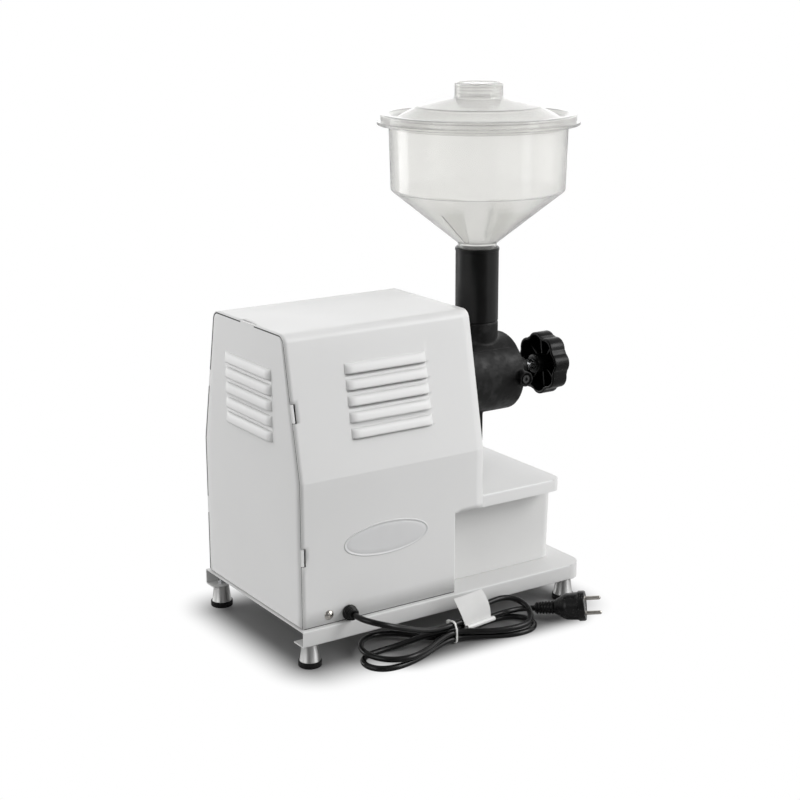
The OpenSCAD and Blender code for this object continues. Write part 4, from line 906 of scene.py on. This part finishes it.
def badge():
    """Bare oval plate: raised rim, thin dark line, flat field. Nothing is printed on it."""
    half_l, half_h, mid_x, mid_z, count = 57.0, 20.0, -106.05, 135.5, 112
    # (distance in from the outline, height over the cover)
    rim = [(0.0, 0.0), (0.0, 0.35), (0.35, 0.72), (0.9, 0.8), (1.6, 0.72)]
    groove = [(2.0, 0.5), (2.1, 0.42), (4.0, 0.42)]
    field = [(4.2, 0.5), (4.6, 0.58), (9.0, 0.62), (14.0, 0.65)]
    turns = steps(0, 2 * pi, count)[:-1]
    verts = [(mid_x + (half_l - deep) * cos(a), -HALF_W - out, mid_z + (half_h - deep) * sin(a))
             for deep, out in rim + groove + field for a in turns]
    faces = capped(len(verts) // count, count)
    rows = [2] * len(rim) + [1] * len(groove) + [0] * (len(field) - 1)
    kinds = [kind for kind in rows for a in turns] + [0, 0]
    obj = mesh_object("badge_bare", verts, faces, kinds)
    finish(obj, [BADGE, BADGE_DARK, BADGE_RIM], slot="badge_silver", swaps=("badge_plate",), smooth=50)


feet()
badge()
refined("cover_screw_heads", "cover_screws", NICKEL, bevel=0.25, slot="bright_nickel")


# Mill

SEAM_HALF, SEAM_LOW, VOXEL, SOFT_ROUNDS = 3.0, 45.5, 1.3, 7


def mill_casting():
    """Mill and its cover as one casting: rounded corners, and a band that fills the seam between them."""
    name, nodes = "mill_casting", ("mill_body", "mill_cover")
    bm = bmesh.new()
    for node in nodes:
        bm.from_mesh(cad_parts[node].data)
    bmesh.ops.remove_doubles(bm, verts=bm.verts, dist=WELD)
    place = Matrix.Translation((XQ, 0, AXIS_H)) @ Matrix.Rotation(pi / 2, 4, "Y")
    band = [(SEAM_LOW, -SEAM_HALF), (MILL_R, -SEAM_HALF), (MILL_R, SEAM_HALF), (SEAM_LOW, SEAM_HALF)]
    verts, faces = lathe(band, place, 96)
    made = [bm.verts.new(v * MM) for v in verts]
    for f in faces:
        bm.faces.new([made[i] for i in f])
    mesh = bpy.data.meshes.new(name)
    bm.to_mesh(mesh)
    bm.free()
    obj = bpy.data.objects.new(name, mesh)
    scene.collection.objects.link(obj)
    mod = obj.modifiers.new("cast", "REMESH")
    mod.mode = "VOXEL"
    mod.voxel_size = VOXEL * MM
    obj.modifiers.new("soft", "SMOOTH").iterations = SOFT_ROUNDS
    baked = bpy.data.meshes.new_from_object(obj.evaluated_get(bpy.context.evaluated_depsgraph_get()))
    obj.modifiers.clear()
    obj.data = baked
    finish(obj, IRON, slot="black_iron", swaps=nodes, smooth=70)


def parting_line():
    """Low bead that the mould's halves leave along the mill, high on the side that shows."""
    x0, x1, n = XF + 14, XM - 9, 24
    verts = []
    for k in range(n + 1):
        angle = radians(48.6 - 1.4 * k / n)
        fade = min(1, 4 * k / n, 4 * (n - k) / n)
        out, side = Vector((-cos(angle), sin(angle))), Vector((sin(angle), cos(angle)))
        low, high = 0.25 * fade, 0.55 * fade
        # (height over the mill's face, place across the bead)
        section = [(-0.8, -1.1), (low, -0.75), (high, 0.0), (low, 0.75), (-0.8, 1.1)]
        for lift, across in section:
            q = out * (MILL_R + lift) + side * across
            verts.append((x0 + (x1 - x0) * k / n, q.x, AXIS_H + q.y))
    obj = mesh_object("mould_bead", verts, capped(n + 1, len(section)))
    finish(outward(obj), IRON, slot="black_iron", smooth=60)


mill_casting()
parting_line()


def feed_tube():
    """Satin black tube with a chamfered rim band and a bore for the hopper's spigot."""
    r, band, bore, throat, low, top = 26.4, 27.0, 24.0, 20.0, NECK_H + 0.3, TUBE_H
    seat, shoulder = TUBE_H - 29, NECK_H + 12.6
    outside = [(bore + 0.05, low), (r - 0.7, low), (r, low + 0.7), (r, top - 4.6), (r - 0.25, top - 4.4),
               (r - 0.25, top - 4.1), (band - 0.3, top - 4.0), (band, top - 3.6), (band, top - 1.0),
               (band - 0.9, top)]
    inside = [(bore + 0.8, top), (bore, top - 0.8), (bore, seat), (throat, seat), (throat, shoulder),
              (bore + 0.05, shoulder)]
    obj = mesh_object("feed_pipe", *lathe(outside + inside, Matrix.Translation((XN, 0, 0)), 96))
    finish(obj, TUBE_BLACK, slot="black_tube", swaps=("feed_tube",), smooth=30)


def knob():
    """Lobed hand knob: flat front with a disc, thin lobed rim, hollow ribbed back and a long hub."""
    lobes, phase, high_r, low_r, lobe_r = 8, radians(8.5), 39.5, 36.1, 14.0
    thick, rim, front_r, back_r = 23.5, 3.6, 3.4, 1.2
    place = Matrix.Translation((XK, 0, AXIS_H)) @ Matrix.Rotation(-pi / 2, 4, "Y")

    def lobe(a):
        off = (a - phase + pi / lobes) % (2 * pi / lobes) - pi / lobes
        middle = high_r - lobe_r
        return max(low_r, middle * cos(off) + sqrt(max(0.0, lobe_r ** 2 - (middle * sin(off)) ** 2)))

    # heights are depths from the knob's front
    face = [(0.0, 0.35), (9.0, 0.3), (10.0, 0.7), (11.2, 0.7), (12.2, 0.2), (24, 0.1)]
    face += [(front_r * (sin(a) - 1), front_r * (1 - cos(a)), lobe) for a in steps(0, pi / 2, 6)]
    edge = [(0, 8, lobe), (0, 14, lobe), (0, thick - back_r, lobe)]
    edge += [(back_r * (cos(a) - 1), thick - back_r * (1 - sin(a)), lobe) for a in steps(0, pi / 2, 4)[1:]]
    hollow = [(0.8 - rim, thick, lobe), (0.2 - rim, thick - 0.3, lobe), (-rim, thick - 0.9, lobe),
              (-rim - 0.35, 6.4, lobe), (-rim - 1.2, 5.2, lobe)]
    hub = [(13.2, 5.1), (12.2, 5.8), (12.0, thick + 4.6), (11.4, thick + 5.6), (10.6, thick + 6),
           (7.6, thick + 6), (7.05, thick + 5.5), (7.05, 6.0), (0, 6.0)]
    part = Solid().add(*lathe(face + edge + hollow + hub, place, 192, closed=False))
    verts, faces = level_box(11.5, 35.2, (-1.2, 1.2, 5.0), (-0.9, 0.9, 14.0))
    for i in range(lobes):
        turn = place @ Matrix.Rotation(2 * pi * i / lobes + phase, 4, "Z")
        part.add([turn @ Vector(v) for v in verts], faces)
    obj = outward(part.made("hand_knob"))
    finish(obj, KNOB_BLACK, body="adjuster", slot="knob_plastic", swaps=("adjusting_knob",), smooth=40)


feed_tube()
knob()


# Hopper, lid and collecting box

RIM_R, RIM_H, BOWL_TOP_R, BOWL_LOW_R, CONE_H, HOPPER_T = 121.25, 585.6, 107.4, 105.2, 504.0, 2.0
SPIGOT_R, SPIGOT_LOW, CONE_LOW = 23.65, 405.1, 439.0
FIN_H, FIN_IN, FIN_T = 42.0, 18.05, 1.6
LID_R, LID_RIM, GRIP_R, LID_H, LID_T = 116.9, 9.0, 28.9, 45.15, 1.8
LID_Z = RIM_H + 0.05
HOPPER_AT = Matrix.Translation((XN, 0, 0))


def hopper():
    """Bowl, cone and spigot of one thickness, with a flat rim and four fins in the cone."""
    wall = [(SPIGOT_R, SPIGOT_LOW), (SPIGOT_R, CONE_LOW), (BOWL_LOW_R, CONE_H), (BOWL_TOP_R, RIM_H - 3.6)]
    mouth = (BOWL_TOP_R - HOPPER_T, RIM_H)
    rim = [(RIM_R - 0.6, RIM_H - 3.6), (RIM_R, RIM_H - 3.0), (RIM_R, RIM_H - 0.6), (RIM_R - 0.6, RIM_H),
           mouth]
    inner = inset(wall, HOPPER_T)
    outside = rounded(wall + rim, [0, 3, 5, 1.2, 0, 0, 0, 0, 0], 8)
    inside = rounded([mouth, inner[2], inner[1], inner[0]], [0, 3.4, 3.4, 0], 8)[1:]
    part = Solid().add(*lathe([tuple(p) for p in outside + inside], HOPPER_AT, 128))
    run = (BOWL_LOW_R - SPIGOT_R) / (CONE_H - CONE_LOW)

    def in_wall(h):
        """Radius in the middle of the cone's wall."""
        return SPIGOT_R + h * run - HOPPER_T * sqrt(1 + run * run) / 2

    fin = [(in_wall(2), CONE_LOW + 2), (in_wall(FIN_H), CONE_LOW + FIN_H),
           (FIN_IN + 14, CONE_LOW + FIN_H - 1), (FIN_IN, CONE_LOW + 3)]
    for angle in (20, 110, 200, 290):
        turn = HOPPER_AT @ Matrix.Rotation(radians(angle), 4, "Z")
        part.add(*box_of([turn @ Vector((r, y, z)) for y in (-FIN_T / 2, FIN_T / 2) for r, z in fin]))
    obj = outward(part.made("hopper_bowl_clear"))
    finish(obj, MILKY, body="hopper_bowl", slot="milky_plastic", swaps=("hopper",), smooth=32)


def lid():
    """Lid with a raised border, a recessed ring, a cone and a hollow grip."""
    rim, top, low = LID_Z + LID_RIM, LID_Z + LID_H, LID_Z - 8
    path = [(LID_R, LID_Z), (LID_R, rim), (LID_R - 8.4, rim), (LID_R - 12, rim - 4), (LID_R - 19, rim - 4),
            (LID_R - 40, rim + 6.5), (LID_R - 42, rim + 8.7), (GRIP_R, top - 18.1), (GRIP_R - 0.3, top),
            (GRIP_R - 3.2, top), (GRIP_R - 4.0, top - 1.0), (3.0, top - 1.4), (0, top - 1.0)]
    outside = rounded(path, [0, 2.2, 2.2, 1.5, 3, 0.8, 2.2, 3, 1.2, 0.8, 0.5, 1, 0], 6)
    inner = inset(path, LID_T)
    inner[-1] = Vector((0, top - 1.0 - LID_T))
    inside = rounded(inner, [0, 0.6, 0.6, 3, 1.4, 1.6, 0.6, 1.2, 0.4, 0.4, 0.4, 0.4, 0], 6)
    skirt = BOWL_TOP_R - HOPPER_T - 2.5
    rings = [[tuple(p) for p in outside + inside[::-1]],
             [(skirt - 1.6, low + 0.4), (skirt - 0.4, low), (skirt, low + 0.4), (skirt, low + 12),
              (skirt - 1.6, low + 12)]]
    for depth in (4.5, 8.5, 12.5):
        h = top - depth
        rings.append([(GRIP_R - 0.9, h - 0.7), (GRIP_R + 0.1, h - 0.5), (GRIP_R + 0.25, h),
                      (GRIP_R + 0.1, h + 0.5), (GRIP_R - 0.9, h + 0.7)])
    part = Solid()
    for profile in rings:
        part.add(*lathe(profile, HOPPER_AT, 128))
    obj = outward(part.made("hopper_cap_clear"))
    finish(obj, MILKY_LID_SHADED, body="lid", slot="milky_plastic", swaps=("hopper_lid",), smooth=32)


hopper()
lid()
refined("box_tub", "collecting_box", BOX_WHITE, bevel=0.7, body="drawer", slot="box_plastic")


# Switch and the pieces that keep their CAD form

refined("switch_frame", "switch_body", BLACK_PLASTIC, bevel=0.5, slot="black_plastic")
refined("rocker_key", "switch_rocker", SWITCH, bevel=0.5, body="rocker", slot="switch_plastic")

CAD_FINISH = {
    WHITE: ("front_panel", "bay_wall"),
    RUBBER: ("dust_seal",),
    ZINC: ("foot_bolts", "cover_brackets", "motor_stand", "stand_bolts", "saddle_bolts", "capacitor_clip",
           "mill_bolts", "burr_screws"),
    CAST_ALU: ("motor_saddle", "front_bell", "rear_bell", "run_capacitor"),
    CORE: ("stator_core", "rotor_core"),
    COPPER: ("winding_heads",),
    BEARING: ("front_bearing", "rear_bearing"),
    IVORY: ("terminal_block",),
    BLACK_PLASTIC: ("cooling_fan", "gland_nut"),
    BLACK_STEEL: ("mill_cover_bolts", "lock_screw"),
    STEEL: ("motor_shaft", "burr_carrier", "adjuster_spindle", "spindle_clip"),
    BURR: ("rotating_burr", "feed_auger", "fixed_burr"),
}
for mat, names in CAD_FINISH.items():
    for name in names:
        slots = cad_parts[name].data.materials
        slots.clear()
        slots.append(mat)


# Stage and light

TO_CAMERA = Vector((CAMERA_AT.x, CAMERA_AT.y, 0)).normalized()
# FLOOR_SHADE is the floor's painted shade: its dark colour near the machine
FLOOR_SIZE, FLOOR_SHADE, FLOOR_BOUNCE, SWEEP_END = 60.0, 0.21, 0.55, 0.05
# painted shade on the floor under the machine and under the tied cord, in metres:
# middle, half of the fully shaded part, reach of its edge
SHADES = (((-0.0275, -0.01, 0.0), (0.1775, 0.095, 1.0), (0.065, 0.085, 1.0)),
          ((0.01, -0.137, 0.0), (0.11, 0.017, 1.0), (0.045, 0.045, 1.0)))
WORLD_LOW, WORLD_HIGH, WORLD_FRONT = 1.75, 0.58, 0.15
MIDDLE, EDGE_AIM = (0.0, 0.0, 0.28), (0.0, 0.0, 0.5)
# name, place and aim, width and height in metres, watts
LIGHTS = (("left_box", (-2.3, -0.4, 1.0), MIDDLE, 1.4, 1.4, 10.0),
          ("right_box", (1.6, -1.7, 1.75), MIDDLE, 1.2, 1.2, 33.0),
          ("front_box", (-0.2, -2.5, 1.2), MIDDLE, 1.6, 1.2, 4.0),
          ("left_edge", (-1.1, 1.9, 0.5), EDGE_AIM, 0.9, 1.0, 6.5),
          ("right_edge", (1.1, -1.9, 0.5), EDGE_AIM, 0.5, 1.0, 3.0))


def stage_floor():
    """White sweep: near the object's feet its colour is a painted shade, dark grey, on which the object's
    cast shade still falls; further out it is plain white.
    For other rays than those that see it, it ends before the camera, as a studio's sweep does."""
    mesh = bpy.data.meshes.new("floor")
    mesh.from_pydata([(x * FLOOR_SIZE, y * FLOOR_SIZE, 0) for x, y in SQUARE], [], [(0, 1, 2, 3)])
    obj = bpy.data.objects.new("floor", mesh)
    scene.collection.objects.link(obj)
    n = material("floor_white")
    sweep = n.span(n.vector("DOT_PRODUCT", n.place, TO_CAMERA), FLOOR_BOUNCE, SWEEP_END, 0.2, 0.8)
    lit = n.seen()
    # painted shade: the floor's dark colour near the machine and the cord
    shade = n.ramp(n.noise(3), (0.3, grey(FLOOR_SHADE)), (0.7, grey(FLOOR_SHADE * 1.03)))
    n.colour(n.mixed(lit, sweep, shade))
    n.fix(roughness=0.6, specular_ior_level=0.1)
    for middle, half, reach in SHADES:
        away = n.vector("ABSOLUTE", n.vector("SUBTRACT", n.place, middle))
        past = n.vector("MAXIMUM", n.vector("SUBTRACT", away, half), (0, 0, 0))
        far = {"Value": n.vector("LENGTH", n.vector("DIVIDE", past, reach))}
        share = n.new("ShaderNodeMapRange", far, interpolation_type="SMOOTHSTEP")
        lit = n.combined("MULTIPLY", lit, share.outputs["Result"])
    glow = n.new("ShaderNodeEmission").outputs[0]
    mix = n.new("ShaderNodeMixShader", {"Fac": lit, 1: n.shader.outputs[0], 2: glow})
    n.link(mix.outputs[0], n.tree.nodes["Material Output"].inputs["Surface"])
    mesh.materials.append(n.mat)
    obj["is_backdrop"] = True


def area(name, at, aim, width, height, watts):
    data = bpy.data.lights.new(name, "AREA")
    data.shape = "RECTANGLE"
    data.size, data.size_y = width, height
    data.energy = watts
    obj = bpy.data.objects.new(name, data)
    obj.location = at
    obj.rotation_euler = (Vector(aim) - Vector(at)).to_track_quat("-Z", "Y").to_euler()
    scene.collection.objects.link(obj)


def studio_world():
    """Room, brighter low down and dim behind the camera. The camera and clear plastic see plain white."""
    scene.world = bpy.data.worlds.new("studio")
    n = Nodes(scene.world, "Generated")
    height = n.new("ShaderNodeSeparateXYZ", {0: n.place}).outputs["Z"]
    front = n.span(n.vector("DOT_PRODUCT", n.place, TO_CAMERA), 1.0, WORLD_FRONT, 0.05, 0.75)
    room = n.combined("MULTIPLY", front, n.span(height, WORLD_LOW, WORLD_HIGH, 0.0, 0.9))
    level = n.new("ShaderNodeMapRange", {"Value": n.seen(), "To Min": room})
    background = n.tree.nodes["Background"].inputs
    n.link(level.outputs["Result"], background["Strength"])
    background["Color"].default_value = (1, 1, 1, 1)


studio_world()
stage_floor()
for light in LIGHTS:
    area(*light)

# the CAD box and the visual model's box, for the size rule
({name: [list(corner) for corner in box]
           for name, box in (("cad", CAD_BOX), ("visual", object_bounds()))})
